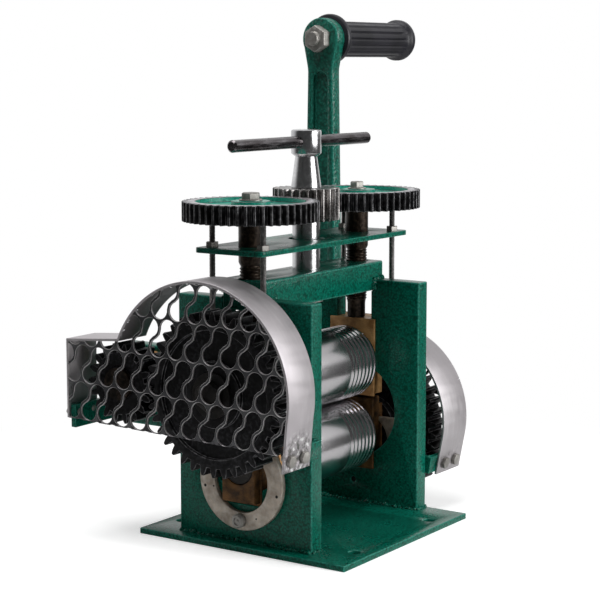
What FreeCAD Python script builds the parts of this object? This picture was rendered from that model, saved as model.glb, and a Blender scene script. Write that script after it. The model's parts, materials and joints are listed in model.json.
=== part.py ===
import FreeCAD, Part
import math
import os

# Hand cranked rolling mill for a jeweller's bench, in millimetres.
# X runs along the rolls (left plate at -X, crank at +X), -Y is the open front, +Z is up.
# The origin lies on the underside of the base plate, below the middle of the rolls.

V = FreeCAD.Vector

# ---- base plate -----------------------------------------------------------------------
BASE_LEFT_EXTRA = 8.6        # beyond the left plate's outer face
BASE_RIGHT_EXTRA = 1.1       # the base is cut short at the crank side, so the gear hangs past it
BASE_FRONT_EXTRA = 23.9      # beyond the plates' front edges
BASE_REAR_EXTRA = 19.3
BASE_T = 3.0
BASE_HOLE_R = 3.0
BASE_HOLE_INSET_X = 23.35    # from each end of the base to the hole centres
BASE_HOLE_INSET_Y = 8.9      # from the front and rear edges to the hole centres

# ---- side plates ------------------------------------------------------------------------
PLATE_T = 9.0
PLATE_HALF_Y = 39.5
PLATE_ABOVE_BLOCK = 20.8     # from the upper block's top to the plate's top
SLOT_HALF = 10.6             # guide slot for the bearing blocks
SLOT_BELOW_ROLL = 19.2       # from the lower roll's axis down to the slot's bottom
ROLL_WINDOW_R = 25.3         # round window through which the rolls are fitted
ROLL_WINDOW_RISE = 12.0
WING_BEHIND_CRANK = 23.85    # the wing carries the crank shaft behind the rolls
WING_ABOVE_CRANK = 15.4
WING_BELOW_CRANK = 25.6      # on the left plate
WING_BELOW_ROLL = 17.0       # on the right plate, which also carries the idler
WING_CORNER_R = 7.0

# ---- cross beam ---------------------------------------------------------------------------
BEAM_HALF_Y = 12.5
BEAM_SEAT = 5.8              # depth of the seat in the plates' upper edges
BEAM_H = 15.0

# ---- rolls ----------------------------------------------------------------------------------
ROLL_R = 19.0
ROLL_LENGTH = 76.0
LOWER_ROLL_Z = 41.0
NIP = 0.6                    # gap between the rolls at rest
JOURNAL_R = 8.5
SHOULDER_R = 13.0
SHOULDER_L = 3.4
WASHER_T = 1.6
WASHER_R = 14.0
END_PLAY = 0.25              # left between the roll, its washer and the bearing block, on each side
ROLL_CHAMFER = 0.6
GROOVE_COUNT = 7             # wire grooves at the crank end of both rolls
GROOVE_PITCH = 3.5
GROOVE_END_LAND = 23.5       # from the roll's crank end to the first and deepest groove
GROOVE_DEPTH = 1.5           # the first groove, each next one is shallower
GROOVE_DEPTH_STEP = 0.14
GROOVE_SLOPE = 0.8           # half width of a groove against its depth

# ---- bearing blocks ---------------------------------------------------------------------------
FLANGE_T = 1.65              # inner flange, against the plate's inner face
UPPER_FLANGE_HALF = 13.7
LOWER_FLANGE_HALF = 13.2
BLOCK_REACH = 18.6           # from a roll's axis to the other block
UPPER_BLOCK_RISE = 22.4      # from the upper roll's axis to the block's top
LOWER_BOSS_HALF = 9.6
LOWER_BOSS_L = 5.0
LOWER_BOSS_RISE = 14.0
EAR_HALF_Y = 18.5
EAR_T = 6.2
EAR_H = 12.0
NOSE_L = 3.0                 # the upper block's bearing nose beyond the plate
EAR_CORNER_R = 2.0

# ---- keeper rings ---------------------------------------------------------------------------------
KEEPER_DROP = 7.0            # from the lower roll's axis down to the ring's centre
KEEPER_OUTER_R = 24.6
KEEPER_INNER_R = 15.8
KEEPER_T = 3.0
KEEPER_ARM_RISE = 7.0        # the arms end this far above the roll's axis
KEEPER_BOLT_DROP = 26.6
KEEPER_BOLT_R = 1.5
KEEPER_HEAD_AF = 6.4
KEEPER_HEAD_H = 3.4

# ---- drive gears ------------------------------------------------------------------------------------
DRIVE_MODULE = 2.0
ROLL_GEAR_TEETH = 38
PINION_TEETH = 18
DRIVE_FACE_W = 14.0
DRIVE_SPREAD = 0.15          # added to the nominal centre distance for backlash
DRIVE_THINNING = 0.08        # taken off each tooth at the pitch circle
PRESSURE_ANGLE = 20.0
UPPER_GEAR_STAND = 11.0      # from the plate to the toothed face
LOWER_GEAR_STAND = 10.0
PINION_EXTRA_W = 1.0
GEAR_HUB_R = 16.0
PINION_HUB_R = 12.5
GEAR_RECESS_OUTER_R = 31.0
GEAR_RECESS_DEPTH = 2.0
GEAR_WASHER_R = 11.0
GEAR_WASHER_T = 1.5
GEAR_HEAD_AF = 13.0
GEAR_HEAD_H = 3.6
GEAR_BOLT_R = 4.0
GEAR_BOLT_DEPTH = 18.0

# ---- crank ------------------------------------------------------------------------------------------------
SHAFT_R = 8.0
SHAFT_END_GAP = 2.0          # the shaft's left end stands past the pinion
BUSH_R = 11.0
BUSH_FLANGE_R = 13.0
BUSH_FLANGE_T = 1.8
CRANK_STAND = 43.0           # from the plate to the crank arm
CRANK_T = 8.0
CRANK_THROW = 168.6
CRANK_HUB_R = 15.0
CRANK_HUB_EXTRA = 4.0
CRANK_EYE_R = 11.7
CRANK_NECK_HALF = 8.2
CRANK_ROOT_HALF = 10.5
CRANK_NECK_DROP = 17.0       # from the eye's centre down to the neck
CRANK_ROOT_RISE = 22.0       # from the shaft up to the arm's root
CRANK_POCKET_HALF = 4.75
CRANK_POCKET_DEPTH = 3.0
CRANK_POCKET_TOP_DROP = 23.0
CRANK_POCKET_BOTTOM_RISE = 28.0
CRANK_SQUARE = 11.0
CRANK_NUT_AF = 17.0
CRANK_NUT_H = 6.0
CRANK_THREAD_STUB = 1.5
HANDLE_BOLT_R = 4.0
HANDLE_NUT_AF = 13.0
HANDLE_NUT_H = 5.6
HANDLE_BOLT_STUB = 2.8
GRIP_LENGTH = 77.5
GRIP_R = 10.1
GRIP_INNER_FLANGE_R = 14.0
GRIP_OUTER_FLANGE_R = 12.0
GRIP_FLANGE_W = 4.0
GRIP_EDGE = 1.0              # chamfer on the flanges' rims
GRIP_FLARE = 2.0             # slope from the fluted body up to the outer flange
GRIP_FLUTES = 16
GRIP_FLUTE_R = 1.0
GRIP_POCKET_R = 7.5
GRIP_POCKET_DEPTH = 6.0
HANDLE_HEAD_R = 6.5
HANDLE_HEAD_H = 4.0

# ---- idler ---------------------------------------------------------------------------------------------------
IDLER_PIN_R = 6.0
IDLER_HEAD_R = 9.0
IDLER_HEAD_T = 2.0

# ---- roll adjustment ---------------------------------------------------------------------------------------------
SCREW_OUTWARD = 2.6          # from the plate's inner face out to the screw's axis
SCREW_GEAR_TEETH = 51
SPINDLE_TEETH = 25
SCREW_SPREAD = 0.1
SCREW_THINNING = 0.06
SCREW_GEAR_RISE = 12.5       # above the lifting plate
SCREW_GEAR_W = 9.5
SCREW_RIM_W = 3.6
SCREW_WEB_DEPTH = 2.4
SCREW_HUB_R = 9.5
SLEEVE_R = 6.0
SLEEVE_BELOW_PLATE = 6.5
THREAD_R = 5.5
THREAD_BELOW_BEAM = 6.0
NECK_R = 4.7
TAPER_H = 1.5
SCREW_SEAT_R = 4.0           # spigot that carries the screw gear
SCREW_HEAD_AF = 10.0
SCREW_HEAD_H = 4.2
SCREW_WASHER_R = 6.5
SCREW_WASHER_T = 0.8
SPINDLE_R = 7.0
SPINDLE_FOOT_R = 5.0
SPINDLE_FOOT_BELOW = 3.0
SPINDLE_PINION_BELOW = 3.0   # the pinion is longer than the gears, which rise along it
SPINDLE_PINION_ABOVE = 3.5
NECK_BIG_R = 7.6
NECK_SMALL_R = 5.5
NECK_L = 15.6
COLLAR_FLARE_H = 1.4
COLLAR_H = 12.0
COLLAR_CHAMFER = 1.0
TEE_R = 3.0
TEE_CHAMFER = 0.8
TEE_LENGTH = 120.0
TEE_SHIFT = -3.0
CLIP_R = 8.5
CLIP_T = 1.0

# ---- lifting plate and studs ------------------------------------------------------------------------------------------
LIFT_PLATE_MARGIN = 8.3      # from the studs to the plate's ends
LIFT_PLATE_HALF_Y = 20.0
LIFT_PLATE_RISE = 13.0       # above the cross beam
LIFT_PLATE_T = 2.5
LIFT_PLATE_CORNER_R = 3.0
LIFT_POST_HOLE_R = 9.0
LIFT_RING_R = 7.4
LIFT_RING_T = 1.0
STUD_STAND = 4.5             # from the plate's outer face
STUD_Y = 15.0
STUD_R = 1.5
STUD_RISE = 12.0             # above the lifting plate
STUD_DEPTH = 8.0
NUT_AF = 5.5
NUT_H = 2.4

# ---- guards ----------------------------------------------------------------------------------------------------------------
GUARD_T = 1.2
GUARD_LEFT_STAND = 10.7      # from the plate to the guard's inner edge
GUARD_LEFT_W = 21.5
GUARD_LEFT_BEHIND_WING = 4.8
GUARD_LEFT_ABOVE_WING = 8.0
GUARD_LEFT_TOP_DROP = 2.7    # the box's top slopes down to the rear
GUARD_LEFT_CENTRE_Y = 4.0    # centre of the arc over the upper gear
GUARD_LEFT_CENTRE_RISE = 2.1
GUARD_LEFT_OVER_GEAR = 12.6  # from the gear's tips out to the guard's outer face
GUARD_LEFT_BELOW = 10.0      # degrees that the arc goes on below level, down to the tab
GUARD_LEFT_TAB = 24.0
GUARD_LEFT_UP = 3.0          # the guard's lower edge above the wing's
GUARD_LEFT_HEM_RISE = 3.6    # the lower edge rises to the rear
GUARD_RIGHT_STAND = 6.6
GUARD_RIGHT_W = 24.4
GUARD_RIGHT_BEHIND_WING = 3.0
GUARD_RIGHT_ABOVE_WING = 7.0
GUARD_RIGHT_CENTRE_Y = 0.0
GUARD_RIGHT_CENTRE_RISE = 6.0
GUARD_RIGHT_OVER_GEAR = 6.6
GUARD_RIGHT_BELOW = 11.0
GUARD_RIGHT_TAB = 19.0
GUARD_RIGHT_DOWN = 1.0       # the guard's lower edge below the wing's
GUARD_RIGHT_BOX_L = 50.0     # length of the box behind the arc
PUNCH_R = 4.55               # each punched opening is two rounds joined by a neck
PUNCH_PITCH_Y = 10.4         # along a row
PUNCH_PITCH_Z = 0.33
PUNCH_ROW_Y = -1.16          # from a row to the next
PUNCH_ROW_Z = 18.5
PUNCH_PARTNER_Y = -5.96      # from an opening's lower round to its upper one
PUNCH_PARTNER_Z = 9.32
PUNCH_THROAT = 3.6           # half width where a round turns into the neck
PUNCH_NECK = 2.75            # half width of the neck
PUNCH_START_Y = 8.52
PUNCH_START_Z = 63.15
PUNCH_STEPS = 7
SHAFT_HOLE_R = 10.5
LUG_T = 3.0
LUG_FRONT_H = 9.0
LUG_REAR_H = 11.5
LUG_FOOT_L = 12.0
LUG_TAB_END = 1.2            # from the lug up from the end of the guard's tab
LUG_REAR_RISE_LEFT = -5.0    # rear lug's lower edge against the guard's lower edge
LUG_REAR_RISE_RIGHT = 3.0
GUARD_SCREW_R = 1.5
GUARD_SCREW_AF = 5.5
GUARD_SCREW_H = 2.0
GUARD_SCREW_FIRST = 6.2      # from the guard's inner edge
GUARD_SCREW_SPACING = 10.8

# ---- named clearances ------------------------------------------------------------------------------------------------------------
RUN = 0.05                   # radial running clearance of shafts and screws
SLIDE = 0.1                  # each side of a sliding block
FACE = 0.1                   # between flat faces that turn past each other
GAP = 0.3                    # between a clip or a collar and its face

# ---- derived places ----------------------------------------------------------------------------------------------------------------
ROLL_END = ROLL_LENGTH / 2
PLATE_IN = ROLL_END + SHOULDER_L + WASHER_T + END_PLAY + FLANGE_T + SLIDE
PLATE_OUT = PLATE_IN + PLATE_T
BLOCK_IN = PLATE_IN - SLIDE - FLANGE_T
BASE_LEFT = -PLATE_OUT - BASE_LEFT_EXTRA
BASE_RIGHT = PLATE_OUT + BASE_RIGHT_EXTRA
BASE_FRONT = -PLATE_HALF_Y - BASE_FRONT_EXTRA
BASE_REAR = PLATE_HALF_Y + BASE_REAR_EXTRA
GROOVE_FIRST_X = ROLL_END - GROOVE_END_LAND
UPPER_ROLL_Z = LOWER_ROLL_Z + 2 * ROLL_R + NIP
UPPER_AXIS = (0.0, UPPER_ROLL_Z)
LOWER_AXIS = (0.0, LOWER_ROLL_Z)
DRIVE_CENTRES = DRIVE_MODULE * (ROLL_GEAR_TEETH + PINION_TEETH) / 2 + DRIVE_SPREAD
PINION_CENTRES = DRIVE_MODULE * PINION_TEETH + DRIVE_SPREAD
GEAR_TIP_R = DRIVE_MODULE * (ROLL_GEAR_TEETH / 2 + 1)
CRANK_AXIS = (DRIVE_CENTRES, UPPER_ROLL_Z)
EYE_AXIS = (CRANK_AXIS[0], CRANK_AXIS[1] + CRANK_THROW)
UPPER_BLOCK_BOTTOM = UPPER_ROLL_Z - BLOCK_REACH
UPPER_BLOCK_TOP = UPPER_ROLL_Z + UPPER_BLOCK_RISE
LOWER_BLOCK_TOP = LOWER_ROLL_Z + BLOCK_REACH
LOWER_BOSS_TOP = LOWER_ROLL_Z + LOWER_BOSS_RISE
KEEPER_Z = LOWER_ROLL_Z - KEEPER_DROP
KEEPER_TOP = LOWER_ROLL_Z + KEEPER_ARM_RISE
KEEPER_BOLT_Z = LOWER_ROLL_Z - KEEPER_BOLT_DROP
SLOT_BOTTOM = LOWER_ROLL_Z - SLOT_BELOW_ROLL
ROLL_WINDOW_Z = LOWER_ROLL_Z + ROLL_WINDOW_RISE
PLATE_TOP = UPPER_BLOCK_TOP + PLATE_ABOVE_BLOCK
WING_REAR = CRANK_AXIS[0] + WING_BEHIND_CRANK
WING_TOP = CRANK_AXIS[1] + WING_ABOVE_CRANK
WING_BOTTOM_LEFT = CRANK_AXIS[1] - WING_BELOW_CRANK
WING_BOTTOM_RIGHT = LOWER_ROLL_Z - WING_BELOW_ROLL
BEAM_BOTTOM = PLATE_TOP - BEAM_SEAT
BEAM_TOP = BEAM_BOTTOM + BEAM_H
UPPER_GEAR_X = PLATE_OUT + UPPER_GEAR_STAND
LOWER_GEAR_X = PLATE_OUT + LOWER_GEAR_STAND
PINION_W = DRIVE_FACE_W + PINION_EXTRA_W
EAR_OUT = PLATE_OUT + SLIDE + EAR_T
CRANK_X = PLATE_OUT + CRANK_STAND
CRANK_OUT = CRANK_X + CRANK_T
GRIP_START = CRANK_OUT + GAP
GRIP_END = GRIP_START + GRIP_LENGTH
ROOF = BEAM_TOP + LIFT_PLATE_RISE
LIFT_PLATE_TOP = ROOF + LIFT_PLATE_T
STUD_X = PLATE_OUT + STUD_STAND
STUD_TOP = LIFT_PLATE_TOP + STUD_RISE
LIFT_PLATE_HALF_X = STUD_X + LIFT_PLATE_MARGIN
SCREW_CENTRES = PLATE_IN + SCREW_OUTWARD
SCREW_MODULE = 2 * (SCREW_CENTRES - SCREW_SPREAD) / (SCREW_GEAR_TEETH + SPINDLE_TEETH)
THREAD_BOTTOM = BEAM_BOTTOM - THREAD_BELOW_BEAM
SLEEVE_BOTTOM = ROOF - SLEEVE_BELOW_PLATE
SCREW_GEAR_BOTTOM = LIFT_PLATE_TOP + SCREW_GEAR_RISE
SCREW_GEAR_TOP = SCREW_GEAR_BOTTOM + SCREW_GEAR_W
SPINDLE_PINION_BOTTOM = SCREW_GEAR_BOTTOM - SPINDLE_PINION_BELOW
SPINDLE_PINION_TOP = SCREW_GEAR_TOP + SPINDLE_PINION_ABOVE
NECK_TOP = SPINDLE_PINION_TOP + NECK_L
COLLAR_BOTTOM = NECK_TOP + COLLAR_FLARE_H
COLLAR_TOP = COLLAR_BOTTOM + COLLAR_H
TEE_Z = COLLAR_BOTTOM + COLLAR_H / 2
HEX_CORNER = 1 / math.sqrt(3)    # corner radius of a hexagon against its width across flats

LEFT = -1
RIGHT = 1


def idler_centre():
    """Point at the pinion's distance from the crank shaft and the gear's from the lower roll."""
    dy = CRANK_AXIS[0] - LOWER_AXIS[0]
    dz = CRANK_AXIS[1] - LOWER_AXIS[1]
    span = math.hypot(dy, dz)
    along = (span ** 2 + DRIVE_CENTRES ** 2 - PINION_CENTRES ** 2) / (2 * span)
    across = math.sqrt(DRIVE_CENTRES ** 2 - along ** 2)
    y = LOWER_AXIS[0] + (dy * along + dz * across) / span
    z = LOWER_AXIS[1] + (dz * along - dy * across) / span
    return (y, z)


IDLER_AXIS = idler_centre()


# ---- plain solids -----------------------------------------------------------------------------------------------------------------------

def block(x0, x1, y0, y1, z0, z1):
    """Box between two corners, given in any order along X."""
    low = min(x0, x1)
    return Part.makeBox(abs(x1 - x0), y1 - y0, z1 - z0, V(low, y0, z0))


def rod_x(radius, x0, x1, axis):
    """Cylinder along X about the point axis = (y, z)."""
    return Part.makeCylinder(radius, abs(x1 - x0), V(min(x0, x1), axis[0], axis[1]), V(1, 0, 0))


def rod_z(radius, z0, z1, x, y):
    """Cylinder along Z."""
    return Part.makeCylinder(radius, z1 - z0, V(x, y, z0), V(0, 0, 1))


def prism_x(points, x0, x1):
    """Closed outline of (y, z) points, pushed along X."""
    low = min(x0, x1)
    corners = [V(low, y, z) for y, z in points]
    face = Part.Face(Part.makePolygon(corners + corners[:1]))
    return face.extrude(V(abs(x1 - x0), 0, 0))


def prism_z(points, z0, z1):
    """Closed outline of (x, y) points, pushed along Z."""
    corners = [V(x, y, z0) for x, y in points]
    face = Part.Face(Part.makePolygon(corners + corners[:1]))
    return face.extrude(V(0, 0, z1 - z0))


def turned_x(profile, axis):
    """Round part about X from (x, radius) points that run from one end to the other."""
    corners = [V(profile[0][0], axis[0], axis[1])]
    corners += [V(x, axis[0], axis[1] + radius) for x, radius in profile]
    corners += [V(profile[-1][0], axis[0], axis[1])]
    face = Part.Face(Part.makePolygon(corners + corners[:1]))
    return face.revolve(V(0, axis[0], axis[1]), V(1, 0, 0), 360)


def turned_z(profile, x, y):
    """Round part about Z from (radius, z) points that run from the bottom to the top."""
    corners = [V(x, y, profile[0][1])]
    corners += [V(x + radius, y, z) for radius, z in profile]
    corners += [V(x, y, profile[-1][1])]
    face = Part.Face(Part.makePolygon(corners + corners[:1]))
    return face.revolve(V(x, y, 0), V(0, 0, 1), 360)


def polygon_points(sides, radius, centre, start=0.0):
    """Corners of a regular polygon as 2D points."""
    step = 2 * math.pi / sides
    return [(centre[0] + radius * math.cos(start + i * step),
             centre[1] + radius * math.sin(start + i * step)) for i in range(sides)]


def hex_x(across_flats, x0, x1, axis):
    """Hexagon along X, with two flats upright."""
    corner_r = across_flats * HEX_CORNER
    return prism_x(polygon_points(6, corner_r, axis, math.pi / 6), x0, x1)


def hex_z(across_flats, z0, z1, x, y):
    """Hexagon along Z."""
    corner_r = across_flats * HEX_CORNER
    return prism_z(polygon_points(6, corner_r, (x, y)), z0, z1)


def round_corners(solid, radius, pick):
    """Fillet of the edges whose middle point pick() accepts."""
    edges = [edge for edge in solid.Edges if pick(edge)]
    return solid.makeFillet(radius, edges)


def along(edge, direction):
    """True for a straight edge that runs along direction."""
    if not isinstance(edge.Curve, Part.Line):
        return False
    return abs(edge.tangentAt(edge.FirstParameter).dot(direction)) > 0.999


# ---- gear teeth -------------------------------------------------------------------------------------------------------------------------------

def involute(angle):
    """Involute function of a pressure angle in radians."""
    return math.tan(angle) - angle


def tooth_flank(module, teeth, thinning):
    """Points (radius, half angle) up one flank of a tooth, from its root to its tip."""
    pitch_r = module * teeth / 2
    base_r = pitch_r * math.cos(math.radians(PRESSURE_ANGLE))
    root_r = pitch_r - 1.25 * module
    tip_r = pitch_r + module
    half_at_pitch = (math.pi * module / 2 - thinning) / (2 * pitch_r)
    radii = [root_r, pitch_r, tip_r]
    if base_r > root_r + 0.2 * module:
        radii.insert(1, base_r)
    flank = []
    for radius in radii:
        roll = math.acos(min(1.0, base_r / radius))
        half = half_at_pitch + involute(math.radians(PRESSURE_ANGLE)) - involute(roll)
        flank.append((radius, half))
    return flank


def gear_outline(module, teeth, phase, centre, thinning):
    """Outline of a spur gear with a tooth centred at the angle phase."""
    flank = tooth_flank(module, teeth, thinning)
    points = []
    for i in range(teeth):
        middle = phase + 2 * math.pi * i / teeth
        for radius, half in flank:
            points.append((radius, middle - half))
        for radius, half in reversed(flank):
            points.append((radius, middle + half))
    return [(centre[0] + r * math.cos(a), centre[1] + r * math.sin(a)) for r, a in points]


def meshed_phase(centre, phase, teeth, other_centre, other_teeth):
    """Phase of a gear that meshes with a first gear of the given phase."""
    angle = math.atan2(other_centre[1] - centre[1], other_centre[0] - centre[0])
    carried = teeth * (phase - angle) / other_teeth
    return angle + math.pi + math.pi / other_teeth - carried


PINION_PHASE = 0.0
UPPER_GEAR_PHASE = meshed_phase(CRANK_AXIS, PINION_PHASE, PINION_TEETH, UPPER_AXIS, ROLL_GEAR_TEETH)
IDLER_PHASE = meshed_phase(CRANK_AXIS, PINION_PHASE, PINION_TEETH, IDLER_AXIS, PINION_TEETH)
LOWER_GEAR_PHASE = meshed_phase(IDLER_AXIS, IDLER_PHASE, PINION_TEETH, LOWER_AXIS, ROLL_GEAR_TEETH)


def drive_gear(teeth, phase, axis, x0, x1):
    """Toothed disc of the drive, about X."""
    return prism_x(gear_outline(DRIVE_MODULE, teeth, phase, axis, DRIVE_THINNING), x0, x1)


# ---- frame -----------------------------------------------------------------------------------------------------------------------------------------

def base_hole_places():
    """Centres of the four bench bolt holes."""
    xs = (BASE_LEFT + BASE_HOLE_INSET_X, BASE_RIGHT - BASE_HOLE_INSET_X)
    ys = (BASE_FRONT + BASE_HOLE_INSET_Y, BASE_REAR - BASE_HOLE_INSET_Y)
    return [(x, y) for x in xs for y in ys]


def base_plate():
    plate = block(BASE_LEFT, BASE_RIGHT, BASE_FRONT, BASE_REAR, 0, BASE_T)
    for x, y in base_hole_places():
        plate = plate.cut(rod_z(BASE_HOLE_R, 0, BASE_T, x, y))
    return plate


def side_plate(side):
    """Upright plate with guide slot, roll window, beam seat, rear wing and shaft bores."""
    x0 = side * PLATE_IN
    x1 = side * PLATE_OUT
    wing_bottom = WING_BOTTOM_LEFT if side == LEFT else WING_BOTTOM_RIGHT
    body = block(x0, x1, -PLATE_HALF_Y, PLATE_HALF_Y, BASE_T, PLATE_TOP)
    wing = block(x0, x1, 0, WING_REAR, wing_bottom, WING_TOP)
    wing = round_corners(wing, WING_CORNER_R,
                         lambda e: along(e, V(1, 0, 0)) and e.CenterOfMass.y > PLATE_HALF_Y)
    plate = body.fuse(wing).removeSplitter()
    plate = plate.cut(block(x0, x1, -SLOT_HALF, SLOT_HALF, SLOT_BOTTOM, PLATE_TOP))
    plate = plate.cut(block(x0, x1, -BEAM_HALF_Y, BEAM_HALF_Y, BEAM_BOTTOM, PLATE_TOP))
    plate = plate.cut(rod_x(ROLL_WINDOW_R, x0, x1, (0, ROLL_WINDOW_Z)))
    plate = plate.cut(rod_x(BUSH_R, x0, x1, CRANK_AXIS))
    plate = plate.cut(rod_x(KEEPER_BOLT_R, x0, x1, (0, KEEPER_BOLT_Z)))
    if side == RIGHT:
        plate = plate.cut(rod_x(IDLER_PIN_R, x0, x1, IDLER_AXIS))
    return plate


def cross_beam():
    """Bar across the plates that holds the two screws and the spindle."""
    beam = block(-PLATE_OUT, PLATE_OUT, -BEAM_HALF_Y, BEAM_HALF_Y, BEAM_BOTTOM, BEAM_TOP)
    for x in (-SCREW_CENTRES, SCREW_CENTRES):
        beam = beam.cut(rod_z(THREAD_R + RUN, BEAM_BOTTOM, BEAM_TOP, x, 0))
    return beam.cut(rod_z(SPINDLE_FOOT_R + RUN, BEAM_BOTTOM, BEAM_TOP, 0, 0))


def lower_block(side):
    """Bronze bearing block that stands on the slot's bottom and carries the lower journal."""
    flange = block(side * BLOCK_IN, side * PLATE_IN, -LOWER_FLANGE_HALF, LOWER_FLANGE_HALF,
                   SLOT_BOTTOM, LOWER_BLOCK_TOP)
    half = SLOT_HALF - SLIDE
    web = block(side * PLATE_IN, side * PLATE_OUT, -half, half, SLOT_BOTTOM, LOWER_BLOCK_TOP)
    boss = block(side * PLATE_OUT, side * (PLATE_OUT + LOWER_BOSS_L), -LOWER_BOSS_HALF,
                 LOWER_BOSS_HALF, SLOT_BOTTOM + FLANGE_T, LOWER_BOSS_TOP)
    bearing = flange.fuse([web, boss]).removeSplitter()
    reach = PLATE_OUT + LOWER_BOSS_L
    return bearing.cut(rod_x(JOURNAL_R + RUN, side * BLOCK_IN, side * reach, LOWER_AXIS))


def keeper_ring(side):
    """Open ring bolted over the lower block; its two arms catch the block's shoulders."""
    x0 = side * PLATE_OUT
    x1 = side * (PLATE_OUT + KEEPER_T)
    axis = (0, KEEPER_Z)
    ring = rod_x(KEEPER_OUTER_R, x0, x1, axis).cut(rod_x(KEEPER_INNER_R, x0, x1, axis))
    half = LOWER_BOSS_HALF + GAP
    ring = ring.cut(block(x0, x1, -half, half, KEEPER_Z, KEEPER_Z + KEEPER_OUTER_R))
    ring = ring.cut(block(x0, x1, -KEEPER_OUTER_R, KEEPER_OUTER_R, KEEPER_TOP,
                          KEEPER_Z + KEEPER_OUTER_R))
    return ring.cut(rod_x(KEEPER_BOLT_R, x0, x1, (0, KEEPER_BOLT_Z)))


def keeper_bolt(side):
    seat = side * (PLATE_OUT + KEEPER_T)
    head = hex_x(KEEPER_HEAD_AF, seat, seat + side * KEEPER_HEAD_H, (0, KEEPER_BOLT_Z))
    shank = rod_x(KEEPER_BOLT_R, side * PLATE_IN, seat, (0, KEEPER_BOLT_Z))
    return head.fuse(shank)


def crank_bush(side):
    """Flanged bush pressed into the wing."""
    end = PLATE_OUT + BUSH_FLANGE_T
    bush = rod_x(BUSH_R, side * PLATE_IN, side * PLATE_OUT, CRANK_AXIS)
    bush = bush.fuse(rod_x(BUSH_FLANGE_R, side * PLATE_OUT, side * end, CRANK_AXIS))
    return bush.cut(rod_x(SHAFT_R + RUN, side * PLATE_IN, side * end, CRANK_AXIS))


def idler_pin():
    """Pin pressed into the right wing, with a head outside the idler gear."""
    gear_end = LOWER_GEAR_X + PINION_W + FACE
    pin = rod_x(IDLER_PIN_R, PLATE_IN, gear_end, IDLER_AXIS)
    return pin.fuse(rod_x(IDLER_HEAD_R, gear_end, gear_end + IDLER_HEAD_T, IDLER_AXIS))


# ---- guards ---------------------------------------------------------------------------------------------------------------------------------------------

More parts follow.
